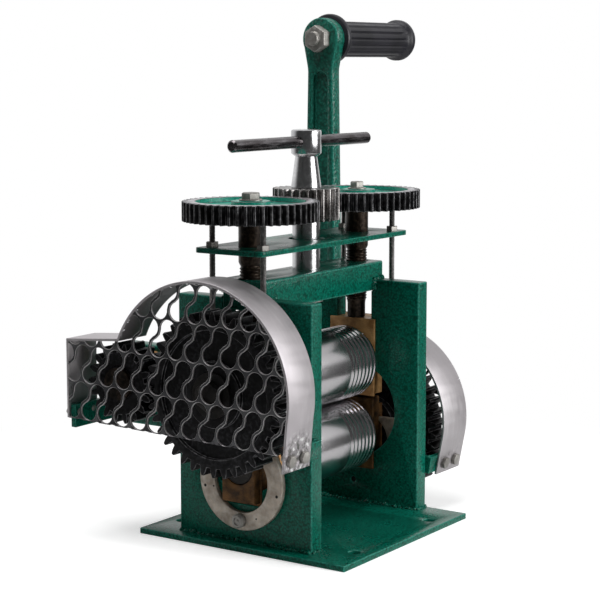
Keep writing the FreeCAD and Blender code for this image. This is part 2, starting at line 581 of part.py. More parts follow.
class Guard:
    """Sheet guard over one end of the drive: a band all round and a punched outer sheet."""

    def __init__(self, side, inner_x, width, centre, radius, below, tab):
        self.side = side
        self.inner_x = inner_x
        self.outer_x = inner_x + width
        self.cy, self.cz = centre
        self.radius = radius
        self.below = math.radians(below)
        self.tab = tab

    def set_box(self, rear, top, top_drop, front, bottom, hem_rise, lug_rise):
        """Places of the box behind the arc and of the guard's lower edge."""
        self.rear = rear
        self.top = top
        self.top_drop = top_drop
        self.box_front = front
        self.bottom = bottom
        self.hem_rise = hem_rise
        self.lug_z = bottom + hem_rise + lug_rise
        return self

    def on_arc(self, radius, angle):
        """Point at an angle from +Y towards +Z."""
        return (self.cy + radius * math.cos(angle), self.cz + radius * math.sin(angle))

    def join(self, radius, inset):
        """Where the arc meets the rear box: its top wall, or its front wall."""
        if self.box_front is None:
            return math.asin((self.top - inset - self.cz) / radius)
        return math.acos((self.box_front + inset - self.cy) / radius)

    def tab_point(self, inset, distance):
        """Point down the straight tab at the front, set in from its outer face."""
        start = self.on_arc(self.radius - inset, math.pi + self.below)
        return (start[0] + distance * math.sin(self.below),
                start[1] - distance * math.cos(self.below))

    def tab_reach(self, inset):
        """Length of the tab's face down to the guard's lower edge, which is one line for all faces."""
        foot = self.tab_point(0, (self.tab_point(0, 0)[1] - self.bottom) / math.cos(self.below))
        slope = self.hem_rise / (self.rear - foot[0])
        start = self.tab_point(inset, 0)
        above = start[1] - self.bottom - slope * (start[0] - foot[0])
        return above / (math.cos(self.below) + slope * math.sin(self.below))

    def hem(self, y):
        """Height of the guard's lower edge at a distance to the rear."""
        foot = self.tab_point(0, self.tab_reach(0))
        return self.bottom + self.hem_rise * (y - foot[0]) / (self.rear - foot[0])

    def arc_edge(self, radius, inset, x):
        """Arc over the gear, from the rear box to the tab."""
        a0 = self.join(radius, inset)
        a1 = math.pi + self.below
        ends = [self.on_arc(radius, a) for a in (a0, (a0 + a1) / 2, a1)]
        return Part.Arc(*[V(x, y, z) for y, z in ends]).toShape()

    def outline(self, inset, x):
        """Closed wire round the guard, down to its lower edge."""
        rear = self.rear - inset
        top = self.top - inset
        arc = self.arc_edge(self.radius - inset, inset, x)
        joint = arc.Vertexes[0].Point
        tab_top = arc.Vertexes[-1].Point
        tab_foot = self.tab_point(inset, self.tab_reach(inset))
        corners = [V(x, tab_foot[0], tab_foot[1]), V(x, rear, self.hem(rear)),
                   V(x, rear, top - self.top_drop)]
        if self.box_front is not None:
            corners.append(V(x, self.box_front + inset, top))
        corners.append(joint)
        edges = [Part.LineSegment(a, b).toShape() for a, b in zip(corners, corners[1:])]
        edges.append(arc)
        edges.append(Part.LineSegment(tab_top, corners[0]).toShape())
        return Part.Wire(Part.__sortEdges__(edges))

    def slab(self, inset, x0, x1):
        """Solid of the outline between two distances from the middle."""
        low = min(self.side * x0, self.side * x1)
        return Part.Face(self.outline(inset, low)).extrude(V(abs(x1 - x0), 0, 0))

    def tab_bar(self, inset, depth, start, end, x0, x1):
        """Flat bar that lies along the tab."""
        corners = [self.tab_point(inset, start), self.tab_point(inset, end),
                   self.tab_point(inset + depth, end), self.tab_point(inset + depth, start)]
        return prism_x(corners, self.side * x0, self.side * x1)

    def band(self):
        """Bent strip round the gear and the rear box, open below."""
        shell = self.slab(0, self.inner_x, self.outer_x)
        hollow = self.slab(GUARD_T, self.inner_x, self.outer_x)
        strip = shell.cut(hollow)
        tab = self.tab_bar(0, GUARD_T, 0, self.tab, self.inner_x, self.outer_x)
        strip = strip.fuse(tab).removeSplitter()
        for hole in self.screw_rods(GUARD_SCREW_R, -GUARD_T, GUARD_T + LUG_T):
            strip = strip.cut(hole)
        return strip

    def punches(self):
        """Outlines of the punched openings, row by row."""
        outlines = []
        reach = 2 * int(self.rear / PUNCH_PITCH_Y)
        low = int((self.bottom - PUNCH_START_Z) / PUNCH_ROW_Z) - 1
        high = int((self.cz + self.radius - PUNCH_START_Z) / PUNCH_ROW_Z) + 1
        for row in range(low, high + 1):
            for column in range(-reach, reach):
                y = PUNCH_START_Y + column * PUNCH_PITCH_Y + row * PUNCH_ROW_Y
                z = PUNCH_START_Z + column * PUNCH_PITCH_Z + row * PUNCH_ROW_Z
                outlines.append(punch_outline(y, z))
        return outlines

    def sheet(self):
        """Outer sheet cut from punched stock, so the rounds at its rim are open."""
        x0 = self.outer_x - GUARD_T
        x1 = self.outer_x
        plain = self.slab(GUARD_T, x0, x1)
        inside = plain.BoundBox
        cutters = []
        for outline in self.punches():
            ys = [p[0] for p in outline]
            zs = [p[1] for p in outline]
            if max(ys) < inside.YMin or min(ys) > inside.YMax:
                continue
            if max(zs) < inside.ZMin or min(zs) > inside.ZMax:
                continue
            cutters.append(prism_x(outline, self.side * x0, self.side * x1))
        sheet = plain.cut(cutters)
        if self.side == RIGHT:
            sheet = sheet.cut(rod_x(SHAFT_HOLE_R, x0, x1, CRANK_AXIS))
        return max(sheet.Solids, key=lambda solid: solid.Volume)

    def lugs(self):
        """Front and rear brackets that carry the guard on the side plate."""
        reach = self.outer_x - GUARD_T - GAP
        foot_x = PLATE_OUT + LUG_T
        start = self.tab - LUG_TAB_END - LUG_FRONT_H
        front_bar = self.tab_bar(GUARD_T, LUG_T, start, start + LUG_FRONT_H, PLATE_OUT, reach)
        face_y, face_z = self.tab_point(GUARD_T + LUG_T, start + LUG_FRONT_H / 2)
        front_foot = block(self.side * PLATE_OUT, self.side * foot_x, face_y - LUG_T / 2,
                           face_y + LUG_FOOT_L, face_z - LUG_FRONT_H / 2,
                           face_z + LUG_FRONT_H / 2)
        rear_y = self.rear - GUARD_T
        rear_top = self.lug_z + LUG_REAR_H
        rear_bar = block(self.side * PLATE_OUT, self.side * reach, rear_y - LUG_T, rear_y,
                         self.lug_z, rear_top)
        rear_foot = block(self.side * PLATE_OUT, self.side * foot_x, rear_y - LUG_FOOT_L,
                          rear_y, self.lug_z, rear_top)
        pair = []
        for bar, foot in ((front_bar, front_foot), (rear_bar, rear_foot)):
            lug = bar.fuse(foot).removeSplitter()
            for hole in self.screw_rods(GUARD_SCREW_R, -GUARD_T, GUARD_T + LUG_T):
                lug = lug.cut(hole)
            pair.append(lug)
        return Part.makeCompound(pair)

    def screw_axes(self):
        """Start points on the guard's outer face and inward directions of its screws."""
        y, z = self.tab_point(0, self.tab - LUG_TAB_END - LUG_FRONT_H / 2)
        inward = V(0, math.cos(self.below), math.sin(self.below))
        rear_z = self.lug_z + LUG_REAR_H * 2 / 3
        axes = []
        for inset in (GUARD_SCREW_FIRST, GUARD_SCREW_FIRST + GUARD_SCREW_SPACING):
            x = self.side * (self.inner_x + inset)
            axes.append((V(x, y, z), inward))
            axes.append((V(x, self.rear, rear_z), V(0, -1, 0)))
        return axes

    def screw_rods(self, radius, start, end):
        """Cylinders along the screws, from start to end below the guard's outer face."""
        return [Part.makeCylinder(radius, end - start, point + inward * start, inward)
                for point, inward in self.screw_axes()]

    def screws(self):
        solids = []
        for point, inward in self.screw_axes():
            shank = Part.makeCylinder(GUARD_SCREW_R, GUARD_T + LUG_T, point, inward)
            corner_r = GUARD_SCREW_AF * HEX_CORNER
            corners = polygon_points(6, corner_r, (0, 0))
            head = prism_z(corners, 0, GUARD_SCREW_H)
            head.Placement = FreeCAD.Placement(point, FreeCAD.Rotation(V(0, 0, 1), inward * -1))
            solids.append(head.fuse(shank))
        return Part.makeCompound(solids)


def punch_outline(y, z):
    """One opening: two rounds joined by a neck, as a polygon about the lower round at (y, z)."""
    tilt = math.atan2(PUNCH_PARTNER_Z, PUNCH_PARTNER_Y)
    reach = math.hypot(PUNCH_PARTNER_Y, PUNCH_PARTNER_Z)
    spread = math.asin(PUNCH_THROAT / PUNCH_R)
    arc = 2 * (math.pi - spread)
    points = []
    for centre, facing, neck in ((0.0, math.pi, -PUNCH_NECK), (reach, 0.0, PUNCH_NECK)):
        for i in range(PUNCH_STEPS + 1):
            angle = facing - arc / 2 + arc * i / PUNCH_STEPS
            points.append((centre + PUNCH_R * math.cos(angle), PUNCH_R * math.sin(angle)))
        points.append((reach / 2, neck))
    turned = []
    for u, v in points:
        turned.append((y + u * math.cos(tilt) - v * math.sin(tilt),
                       z + u * math.sin(tilt) + v * math.cos(tilt)))
    return turned


LEFT_GUARD = Guard(LEFT, PLATE_OUT + GUARD_LEFT_STAND, GUARD_LEFT_W,
                   (GUARD_LEFT_CENTRE_Y, UPPER_ROLL_Z + GUARD_LEFT_CENTRE_RISE),
                   GEAR_TIP_R + GUARD_LEFT_OVER_GEAR, GUARD_LEFT_BELOW, GUARD_LEFT_TAB)
LEFT_GUARD.set_box(WING_REAR + GUARD_LEFT_BEHIND_WING, WING_TOP + GUARD_LEFT_ABOVE_WING,
                   GUARD_LEFT_TOP_DROP, None, WING_BOTTOM_LEFT + GUARD_LEFT_UP,
                   GUARD_LEFT_HEM_RISE, LUG_REAR_RISE_LEFT)
RIGHT_GUARD = Guard(RIGHT, PLATE_OUT + GUARD_RIGHT_STAND, GUARD_RIGHT_W,
                    (GUARD_RIGHT_CENTRE_Y, LOWER_ROLL_Z + GUARD_RIGHT_CENTRE_RISE),
                    GEAR_TIP_R + GUARD_RIGHT_OVER_GEAR, GUARD_RIGHT_BELOW, GUARD_RIGHT_TAB)
RIGHT_GUARD.set_box(WING_REAR + GUARD_RIGHT_BEHIND_WING, WING_TOP + GUARD_RIGHT_ABOVE_WING,
                    0.0, WING_REAR + GUARD_RIGHT_BEHIND_WING - GUARD_RIGHT_BOX_L,
                    WING_BOTTOM_RIGHT - GUARD_RIGHT_DOWN, 0.0, LUG_REAR_RISE_RIGHT)


# ---- rolls and their gears ------------------------------------------------------------------------------------------------------------------------------

def roll_profile(left_end, right_end):
    """Profile of a roll from its left journal's end to its right journal's end."""
    shoulder = ROLL_END + SHOULDER_L
    edge_r = ROLL_R - ROLL_CHAMFER
    tip_r = JOURNAL_R - ROLL_CHAMFER
    points = [(left_end, tip_r), (left_end + ROLL_CHAMFER, JOURNAL_R),
              (-shoulder, JOURNAL_R), (-shoulder, SHOULDER_R), (-ROLL_END, SHOULDER_R),
              (-ROLL_END, edge_r), (-ROLL_END + ROLL_CHAMFER, ROLL_R)]
    for i in range(GROOVE_COUNT):
        x = GROOVE_FIRST_X + i * GROOVE_PITCH
        depth = GROOVE_DEPTH - i * GROOVE_DEPTH_STEP
        half = depth * GROOVE_SLOPE
        points += [(x - half, ROLL_R), (x, ROLL_R - depth), (x + half, ROLL_R)]
    points += [(ROLL_END - ROLL_CHAMFER, ROLL_R), (ROLL_END, edge_r), (ROLL_END, SHOULDER_R),
               (shoulder, SHOULDER_R), (shoulder, JOURNAL_R), (right_end - ROLL_CHAMFER, JOURNAL_R),
               (right_end, tip_r)]
    return points


def roll(axis, left_end, right_end, bolt_side):
    """Steel roll with wire grooves, with a tapped hole in the end that carries the gear."""
    body = turned_x(roll_profile(left_end, right_end), axis)
    end = left_end if bolt_side == LEFT else right_end
    return body.cut(rod_x(GEAR_BOLT_R, end, end - bolt_side * GEAR_BOLT_DEPTH, axis))


def roll_gear(side, axis, phase, face_x, hub_start):
    """Gear on a roll's journal, with a hub towards the plate and a recess outside."""
    end = face_x + DRIVE_FACE_W
    gear = drive_gear(ROLL_GEAR_TEETH, phase, axis, side * face_x, side * end)
    gear = gear.fuse(rod_x(GEAR_HUB_R, side * hub_start, side * face_x, axis))
    recess = rod_x(GEAR_RECESS_OUTER_R, side * (end - GEAR_RECESS_DEPTH), side * end, axis)
    recess = recess.cut(rod_x(GEAR_HUB_R, side * (end - GEAR_RECESS_DEPTH), side * end, axis))
    return gear.cut(recess).cut(rod_x(JOURNAL_R, side * hub_start, side * end, axis))


def gear_bolt(side, axis, seat):
    """Bolt and washer that hold a roll gear on its journal."""
    washer_end = seat + GEAR_WASHER_T
    bolt = rod_x(GEAR_WASHER_R, side * seat, side * washer_end, axis)
    bolt = bolt.fuse(hex_x(GEAR_HEAD_AF, side * washer_end, side * (washer_end + GEAR_HEAD_H), axis))
    return bolt.fuse(rod_x(GEAR_BOLT_R, side * seat, side * (seat - GEAR_BOLT_DEPTH), axis))


def thrust_washers(axis):
    """Washers between the roll's shoulders and the bearing blocks."""
    start = ROLL_END + SHOULDER_L + FACE
    pair = []
    for side in (LEFT, RIGHT):
        washer = rod_x(WASHER_R, side * start, side * (start + WASHER_T), axis)
        pair.append(washer.cut(rod_x(JOURNAL_R + RUN, side * start, side * (start + WASHER_T), axis)))
    return Part.makeCompound(pair)


# ---- crank, idler and grip -------------------------------------------------------------------------------------------------------------------------------------

def crank_shaft():
    """Shaft through both wings, squared where the arm sits and threaded for its nut."""
    left_end = -(UPPER_GEAR_X + PINION_W + SHAFT_END_GAP)
    hub_face = CRANK_X - CRANK_HUB_EXTRA
    nut_end = CRANK_OUT + CRANK_NUT_H + CRANK_THREAD_STUB
    thread_r = CRANK_SQUARE / 2
    shaft = rod_x(SHAFT_R, left_end, hub_face, CRANK_AXIS)
    half = CRANK_SQUARE / 2
    square = block(hub_face, CRANK_OUT, CRANK_AXIS[0] - half, CRANK_AXIS[0] + half,
                   CRANK_AXIS[1] - half, CRANK_AXIS[1] + half)
    return shaft.fuse([square, rod_x(thread_r, CRANK_OUT, nut_end, CRANK_AXIS)])


def crank_pinion(side, face_x):
    """Pinion keyed to the crank shaft, with a hub that runs against the bush."""
    hub_start = PLATE_OUT + BUSH_FLANGE_T + FACE
    pinion = drive_gear(PINION_TEETH, PINION_PHASE, CRANK_AXIS, side * face_x,
                        side * (face_x + PINION_W))
    pinion = pinion.fuse(rod_x(PINION_HUB_R, side * hub_start, side * face_x, CRANK_AXIS))
    return pinion.cut(rod_x(SHAFT_R, side * hub_start, side * (face_x + PINION_W), CRANK_AXIS))


def idler_gear():
    """Gear between the right pinion and the lower roll's gear."""
    hub_start = PLATE_OUT + FACE
    gear = drive_gear(PINION_TEETH, IDLER_PHASE, IDLER_AXIS, LOWER_GEAR_X, LOWER_GEAR_X + PINION_W)
    gear = gear.fuse(rod_x(PINION_HUB_R, hub_start, LOWER_GEAR_X, IDLER_AXIS))
    return gear.cut(rod_x(IDLER_PIN_R + RUN, hub_start, LOWER_GEAR_X + PINION_W, IDLER_AXIS))


def crank_arm():
    """Cast arm with a round eye, a waisted neck, a hub and a long pocket on its inner face."""
    y, z = CRANK_AXIS
    eye_y, eye_z = EYE_AXIS
    neck_z = eye_z - CRANK_NECK_DROP
    root_z = z + CRANK_ROOT_RISE
    blade = prism_x([(y - CRANK_HUB_R, z), (y - CRANK_ROOT_HALF, root_z),
                     (y - CRANK_NECK_HALF, neck_z), (y - CRANK_EYE_R, eye_z),
                     (y + CRANK_EYE_R, eye_z), (y + CRANK_NECK_HALF, neck_z),
                     (y + CRANK_ROOT_HALF, root_z), (y + CRANK_HUB_R, z)], CRANK_X, CRANK_OUT)
    bends = round_corners(blade, CRANK_NECK_DROP,
                          lambda e: along(e, V(1, 0, 0)) and root_z - 1 < e.CenterOfMass.z < eye_z - 1)
    arm = bends.fuse([rod_x(CRANK_EYE_R, CRANK_X, CRANK_OUT, EYE_AXIS),
                      rod_x(CRANK_HUB_R, CRANK_X - CRANK_HUB_EXTRA, CRANK_OUT, CRANK_AXIS)])
    arm = arm.removeSplitter()
    pocket_top = eye_z - CRANK_POCKET_TOP_DROP
    pocket_bottom = z + CRANK_POCKET_BOTTOM_RISE
    floor = CRANK_X + CRANK_POCKET_DEPTH
    pocket = block(CRANK_X, floor, y - CRANK_POCKET_HALF, y + CRANK_POCKET_HALF,
                   pocket_bottom, pocket_top)
    pocket = pocket.fuse([rod_x(CRANK_POCKET_HALF, CRANK_X, floor, (y, pocket_top)),
                          rod_x(CRANK_POCKET_HALF, CRANK_X, floor, (y, pocket_bottom))])
    arm = arm.cut(pocket).cut(rod_x(HANDLE_BOLT_R, CRANK_X, CRANK_OUT, EYE_AXIS))
    half = CRANK_SQUARE / 2
    return arm.cut(block(CRANK_X - CRANK_HUB_EXTRA, CRANK_OUT, y - half, y + half, z - half, z + half))


def crank_nut():
    nut = hex_x(CRANK_NUT_AF, CRANK_OUT, CRANK_OUT + CRANK_NUT_H, CRANK_AXIS)
    return nut.cut(rod_x(CRANK_SQUARE / 2, CRANK_OUT, CRANK_OUT + CRANK_NUT_H, CRANK_AXIS))


def handle_bolt():
    """Bolt through the arm's eye and the grip, with its head sunk in the grip's outer end."""
    seat = GRIP_END - GRIP_POCKET_DEPTH + FACE
    start = CRANK_X - HANDLE_NUT_H - HANDLE_BOLT_STUB
    shank = rod_x(HANDLE_BOLT_R, start, seat, EYE_AXIS)
    return shank.fuse(rod_x(HANDLE_HEAD_R, seat, seat + HANDLE_HEAD_H, EYE_AXIS))


def handle_nut():
    start = CRANK_X - HANDLE_NUT_H
    nut = hex_x(HANDLE_NUT_AF, start, CRANK_X, EYE_AXIS)
    return nut.cut(rod_x(HANDLE_BOLT_R, start, CRANK_X, EYE_AXIS))


def grip():
    """Fluted plastic grip with a flange at each end, free to turn on its bolt."""
    inner = GRIP_START + GRIP_FLANGE_W
    outer = GRIP_END - GRIP_FLANGE_W
    body = turned_x([(GRIP_START, GRIP_INNER_FLANGE_R - GRIP_EDGE),
                     (GRIP_START + GRIP_EDGE, GRIP_INNER_FLANGE_R),
                     (inner - GRIP_EDGE, GRIP_INNER_FLANGE_R), (inner, GRIP_R),
                     (outer - GRIP_FLARE, GRIP_R), (outer, GRIP_OUTER_FLANGE_R),
                     (GRIP_END - GRIP_EDGE, GRIP_OUTER_FLANGE_R),
                     (GRIP_END, GRIP_OUTER_FLANGE_R - GRIP_EDGE)], EYE_AXIS)
    flutes = [rod_x(GRIP_FLUTE_R, inner + GRIP_EDGE, outer - GRIP_FLARE, point)
              for point in polygon_points(GRIP_FLUTES, GRIP_R + GRIP_FLUTE_R / 3, EYE_AXIS)]
    body = body.cut(flutes)
    body = body.cut(rod_x(HANDLE_BOLT_R + RUN, GRIP_START, GRIP_END, EYE_AXIS))
    return body.cut(rod_x(GRIP_POCKET_R, GRIP_END - GRIP_POCKET_DEPTH, GRIP_END, EYE_AXIS))


# ---- upper carriage -------------------------------------------------------------------------------------------------------------------------------------------------

def upper_block(side):
    """Bronze block that slides in the plate's slot and hangs from two studs on its outer ears."""
    flange = block(side * BLOCK_IN, side * (PLATE_IN - SLIDE), -UPPER_FLANGE_HALF,
                   UPPER_FLANGE_HALF, UPPER_BLOCK_BOTTOM, UPPER_BLOCK_TOP)
    half = SLOT_HALF - SLIDE
    nose = PLATE_OUT + SLIDE + NOSE_L
    web = block(side * (PLATE_IN - SLIDE), side * nose, -half, half,
                UPPER_BLOCK_BOTTOM, UPPER_BLOCK_TOP)
    ears = block(side * (PLATE_OUT + SLIDE), side * EAR_OUT, -EAR_HALF_Y, EAR_HALF_Y,
                 UPPER_BLOCK_TOP - EAR_H, UPPER_BLOCK_TOP)
    ears = round_corners(ears, EAR_CORNER_R, lambda e: along(e, V(1, 0, 0)))
    bearing = flange.fuse([web, ears]).removeSplitter()
    bearing = bearing.cut(rod_x(JOURNAL_R + RUN, side * BLOCK_IN, side * EAR_OUT, UPPER_AXIS))
    for y in (-STUD_Y, STUD_Y):
        bearing = bearing.cut(rod_z(STUD_R, UPPER_BLOCK_TOP - STUD_DEPTH, UPPER_BLOCK_TOP,
                                    side * STUD_X, y))
    return bearing


def stud_places():
    return [(x, y) for x in (-STUD_X, STUD_X) for y in (-STUD_Y, STUD_Y)]


def lift_plate():
    """Thin plate that the two screws raise, with the four studs hung through it."""
    plate = block(-LIFT_PLATE_HALF_X, LIFT_PLATE_HALF_X, -LIFT_PLATE_HALF_Y, LIFT_PLATE_HALF_Y,
                  ROOF, LIFT_PLATE_TOP)
    plate = round_corners(plate, LIFT_PLATE_CORNER_R, lambda e: along(e, V(0, 0, 1)))
    for x in (-SCREW_CENTRES, SCREW_CENTRES):
        plate = plate.cut(rod_z(SLEEVE_R + RUN, ROOF, LIFT_PLATE_TOP, x, 0))
    plate = plate.cut(rod_z(LIFT_POST_HOLE_R, ROOF, LIFT_PLATE_TOP, 0, 0))
    for x, y in stud_places():
        plate = plate.cut(rod_z(STUD_R, ROOF, LIFT_PLATE_TOP, x, y))
    return plate


def lift_studs():
    bottom = UPPER_BLOCK_TOP - STUD_DEPTH
    return Part.makeCompound([rod_z(STUD_R, bottom, STUD_TOP, x, y) for x, y in stud_places()])


def lift_nuts():
    nuts = []
    for x, y in stud_places():
        nut = hex_z(NUT_AF, LIFT_PLATE_TOP, LIFT_PLATE_TOP + NUT_H, x, y)
        nuts.append(nut.cut(rod_z(STUD_R, LIFT_PLATE_TOP, LIFT_PLATE_TOP + NUT_H, x, y)))
    return Part.makeCompound(nuts)


# ---- screws, their gears and the spindle ------------------------------------------------------------------------------------------------------------------------------

def screw(x):
    """Adjusting screw: neck on the block, thread through the beam, sleeve up to the gear."""
    profile = [(NECK_R, UPPER_BLOCK_TOP), (NECK_R, THREAD_BOTTOM - TAPER_H), (THREAD_R, THREAD_BOTTOM),
               (THREAD_R, SLEEVE_BOTTOM), (SLEEVE_R, SLEEVE_BOTTOM + TAPER_H),
               (SLEEVE_R, SCREW_GEAR_BOTTOM), (SCREW_SEAT_R, SCREW_GEAR_BOTTOM),
               (SCREW_SEAT_R, SCREW_GEAR_TOP)]
    return turned_z(profile, x, 0)


def screw_gear(x):
    """Large gear on a screw, with a recessed web between its rim and its hub."""
    centre = (x, 0)
    phase = meshed_phase((0, 0), 0.0, SPINDLE_TEETH, centre, SCREW_GEAR_TEETH)
    top = SCREW_GEAR_TOP
    outline = gear_outline(SCREW_MODULE, SCREW_GEAR_TEETH, phase, centre, SCREW_THINNING)
    gear = prism_z(outline, SCREW_GEAR_BOTTOM, top)
    root_r = SCREW_MODULE * (SCREW_GEAR_TEETH / 2 - 1.25)
    recess = rod_z(root_r - SCREW_RIM_W, top - SCREW_WEB_DEPTH, top, x, 0)
    recess = recess.cut(rod_z(SCREW_HUB_R, top - SCREW_WEB_DEPTH, top, x, 0))
    return gear.cut(recess).cut(rod_z(SCREW_SEAT_R, SCREW_GEAR_BOTTOM, top, x, 0))


def screw_bolt(x):
    """Hexagon head and washer that hold the gear on its screw."""
    head_z = SCREW_GEAR_TOP + SCREW_WASHER_T
    washer = rod_z(SCREW_WASHER_R, SCREW_GEAR_TOP, head_z, x, 0)
    return washer.fuse(hex_z(SCREW_HEAD_AF, head_z, head_z + SCREW_HEAD_H, x, 0))


def lift_ring(x):
    """Spring ring on a screw's sleeve, under the lifting plate."""
    ring = rod_z(LIFT_RING_R, ROOF - LIFT_RING_T, ROOF, x, 0)
    return ring.cut(rod_z(SLEEVE_R, ROOF - LIFT_RING_T, ROOF, x, 0))


def spindle():
    """Centre spindle: foot in the beam, post, tapered neck and the collar for the tee bar."""
    seat_r = SPINDLE_FOOT_R
    profile = [(SPINDLE_FOOT_R, BEAM_BOTTOM - SPINDLE_FOOT_BELOW), (SPINDLE_FOOT_R, BEAM_TOP),
               (SPINDLE_R, BEAM_TOP), (SPINDLE_R, SPINDLE_PINION_BOTTOM),
               (seat_r, SPINDLE_PINION_BOTTOM), (seat_r, SPINDLE_PINION_TOP),
               (NECK_BIG_R, SPINDLE_PINION_TOP), (NECK_SMALL_R, NECK_TOP),
               (NECK_BIG_R, COLLAR_BOTTOM), (NECK_BIG_R, COLLAR_TOP - COLLAR_CHAMFER),
               (NECK_BIG_R - COLLAR_CHAMFER, COLLAR_TOP)]
    body = turned_z(profile, 0, 0)
    return body.cut(rod_x(TEE_R, -NECK_BIG_R, NECK_BIG_R, (0, TEE_Z)))


def spindle_pinion():
    outline = gear_outline(SCREW_MODULE, SPINDLE_TEETH, 0.0, (0, 0), SCREW_THINNING)
    pinion = prism_z(outline, SPINDLE_PINION_BOTTOM, SPINDLE_PINION_TOP)
    return pinion.cut(rod_z(SPINDLE_FOOT_R, SPINDLE_PINION_BOTTOM, SPINDLE_PINION_TOP, 0, 0))


def tee_bar():
    """Cross bar pressed through the spindle's collar."""
    start = TEE_SHIFT - TEE_LENGTH / 2
    end = TEE_SHIFT + TEE_LENGTH / 2
    end_r = TEE_R - TEE_CHAMFER
    return turned_x([(start, end_r), (start + TEE_CHAMFER, TEE_R), (end - TEE_CHAMFER, TEE_R),
                     (end, end_r)], (0, TEE_Z))


def spindle_clip():
    """Ring under the beam that keeps the spindle down."""
    top = BEAM_BOTTOM - GAP
    ring = rod_z(CLIP_R, top - CLIP_T, top, 0, 0)
    return ring.cut(rod_z(SPINDLE_FOOT_R, top - CLIP_T, top, 0, 0))


# ---- all pieces ------------------------------------------------------------------------------------------------------------------------------------------------------------------

def roll_ends():
    """Ends of the journals: each roll's gear side, and the plain side inside its block."""
    plain_lower = PLATE_OUT + LOWER_BOSS_L
    plain_upper = PLATE_OUT + SLIDE + NOSE_L
    upper = (-(UPPER_GEAR_X + DRIVE_FACE_W), plain_upper)
    lower = (-plain_lower, LOWER_GEAR_X + DRIVE_FACE_W)
    return upper, lower


def pieces():
    """Every piece by the name of its node."""
    upper_ends, lower_ends = roll_ends()
    lower_hub = PLATE_OUT + LOWER_BOSS_L + GAP
    upper_hub = EAR_OUT + GAP
    parts = {
        "base_plate": base_plate(),
        "side_plate_left": side_plate(LEFT),
        "side_plate_right": side_plate(RIGHT),
        "cross_beam": cross_beam(),
        "keeper_bolts": Part.makeCompound([keeper_bolt(LEFT), keeper_bolt(RIGHT)]),
        "crank_bushes": Part.makeCompound([crank_bush(LEFT), crank_bush(RIGHT)]),
        "idler_pin": idler_pin(),
        "idler_gear": idler_gear(),
        "upper_roll": roll(UPPER_AXIS, upper_ends[0], upper_ends[1], LEFT),
        "lower_roll": roll(LOWER_AXIS, lower_ends[0], lower_ends[1], RIGHT),
        "upper_roll_gear": roll_gear(LEFT, UPPER_AXIS, UPPER_GEAR_PHASE, UPPER_GEAR_X, upper_hub),
        "lower_roll_gear": roll_gear(RIGHT, LOWER_AXIS, LOWER_GEAR_PHASE, LOWER_GEAR_X, lower_hub),
        "upper_gear_bolt": gear_bolt(LEFT, UPPER_AXIS, UPPER_GEAR_X + DRIVE_FACE_W),
        "lower_gear_bolt": gear_bolt(RIGHT, LOWER_AXIS, LOWER_GEAR_X + DRIVE_FACE_W),
        "upper_thrust_washers": thrust_washers(UPPER_AXIS),
        "lower_thrust_washers": thrust_washers(LOWER_AXIS),
        "crank_shaft": crank_shaft(),
        "crank_pinion_left": crank_pinion(LEFT, UPPER_GEAR_X),
        "crank_pinion_right": crank_pinion(RIGHT, LOWER_GEAR_X),
        "crank_arm": crank_arm(),
        "crank_nut": crank_nut(),
        "handle_bolt": handle_bolt(),
        "handle_nut": handle_nut(),
        "grip": grip(),
        "lift_plate": lift_plate(),
        "lift_studs": lift_studs(),
        "lift_nuts": lift_nuts(),
        "spindle": spindle(),
        "spindle_pinion": spindle_pinion(),
        "tee_bar": tee_bar(),
        "spindle_clip": spindle_clip(),
    }
    for name, side, guard in (("left", LEFT, LEFT_GUARD), ("right", RIGHT, RIGHT_GUARD)):
        x = side * SCREW_CENTRES
        parts["lower_block_" + name] = lower_block(side)
        parts["upper_block_" + name] = upper_block(side)
        parts["keeper_ring_" + name] = keeper_ring(side)
        parts["guard_band_" + name] = guard.band()
        parts["guard_sheet_" + name] = guard.sheet()
        parts["guard_lugs_" + name] = guard.lugs()
        parts["guard_screws_" + name] = guard.screws()
        parts["screw_" + name] = screw(x)
        parts["screw_gear_" + name] = screw_gear(x)
        parts["screw_bolt_" + name] = screw_bolt(x)
        parts["lift_ring_" + name] = lift_ring(x)
    return parts


os.makedirs("parts", exist_ok=True)
for node, shape in pieces().items():
    shape.exportStep(os.path.join("parts", node + ".step"))
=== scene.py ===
"""Looks of the jeweller's hand cranked rolling mill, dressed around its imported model."""

import json
import logging
import math
import random
from collections.abc import Callable, Iterable, Iterator, Sequence
from contextlib import contextmanager
from dataclasses import dataclass, field, replace
from enum import Enum

import bmesh
import bpy
from bmesh.types import BMEdge, BMesh, BMVert
from bpy.types import ID, Material, Mesh, Node, NodeSocket, Object, World
from mathutils import Matrix, Vector

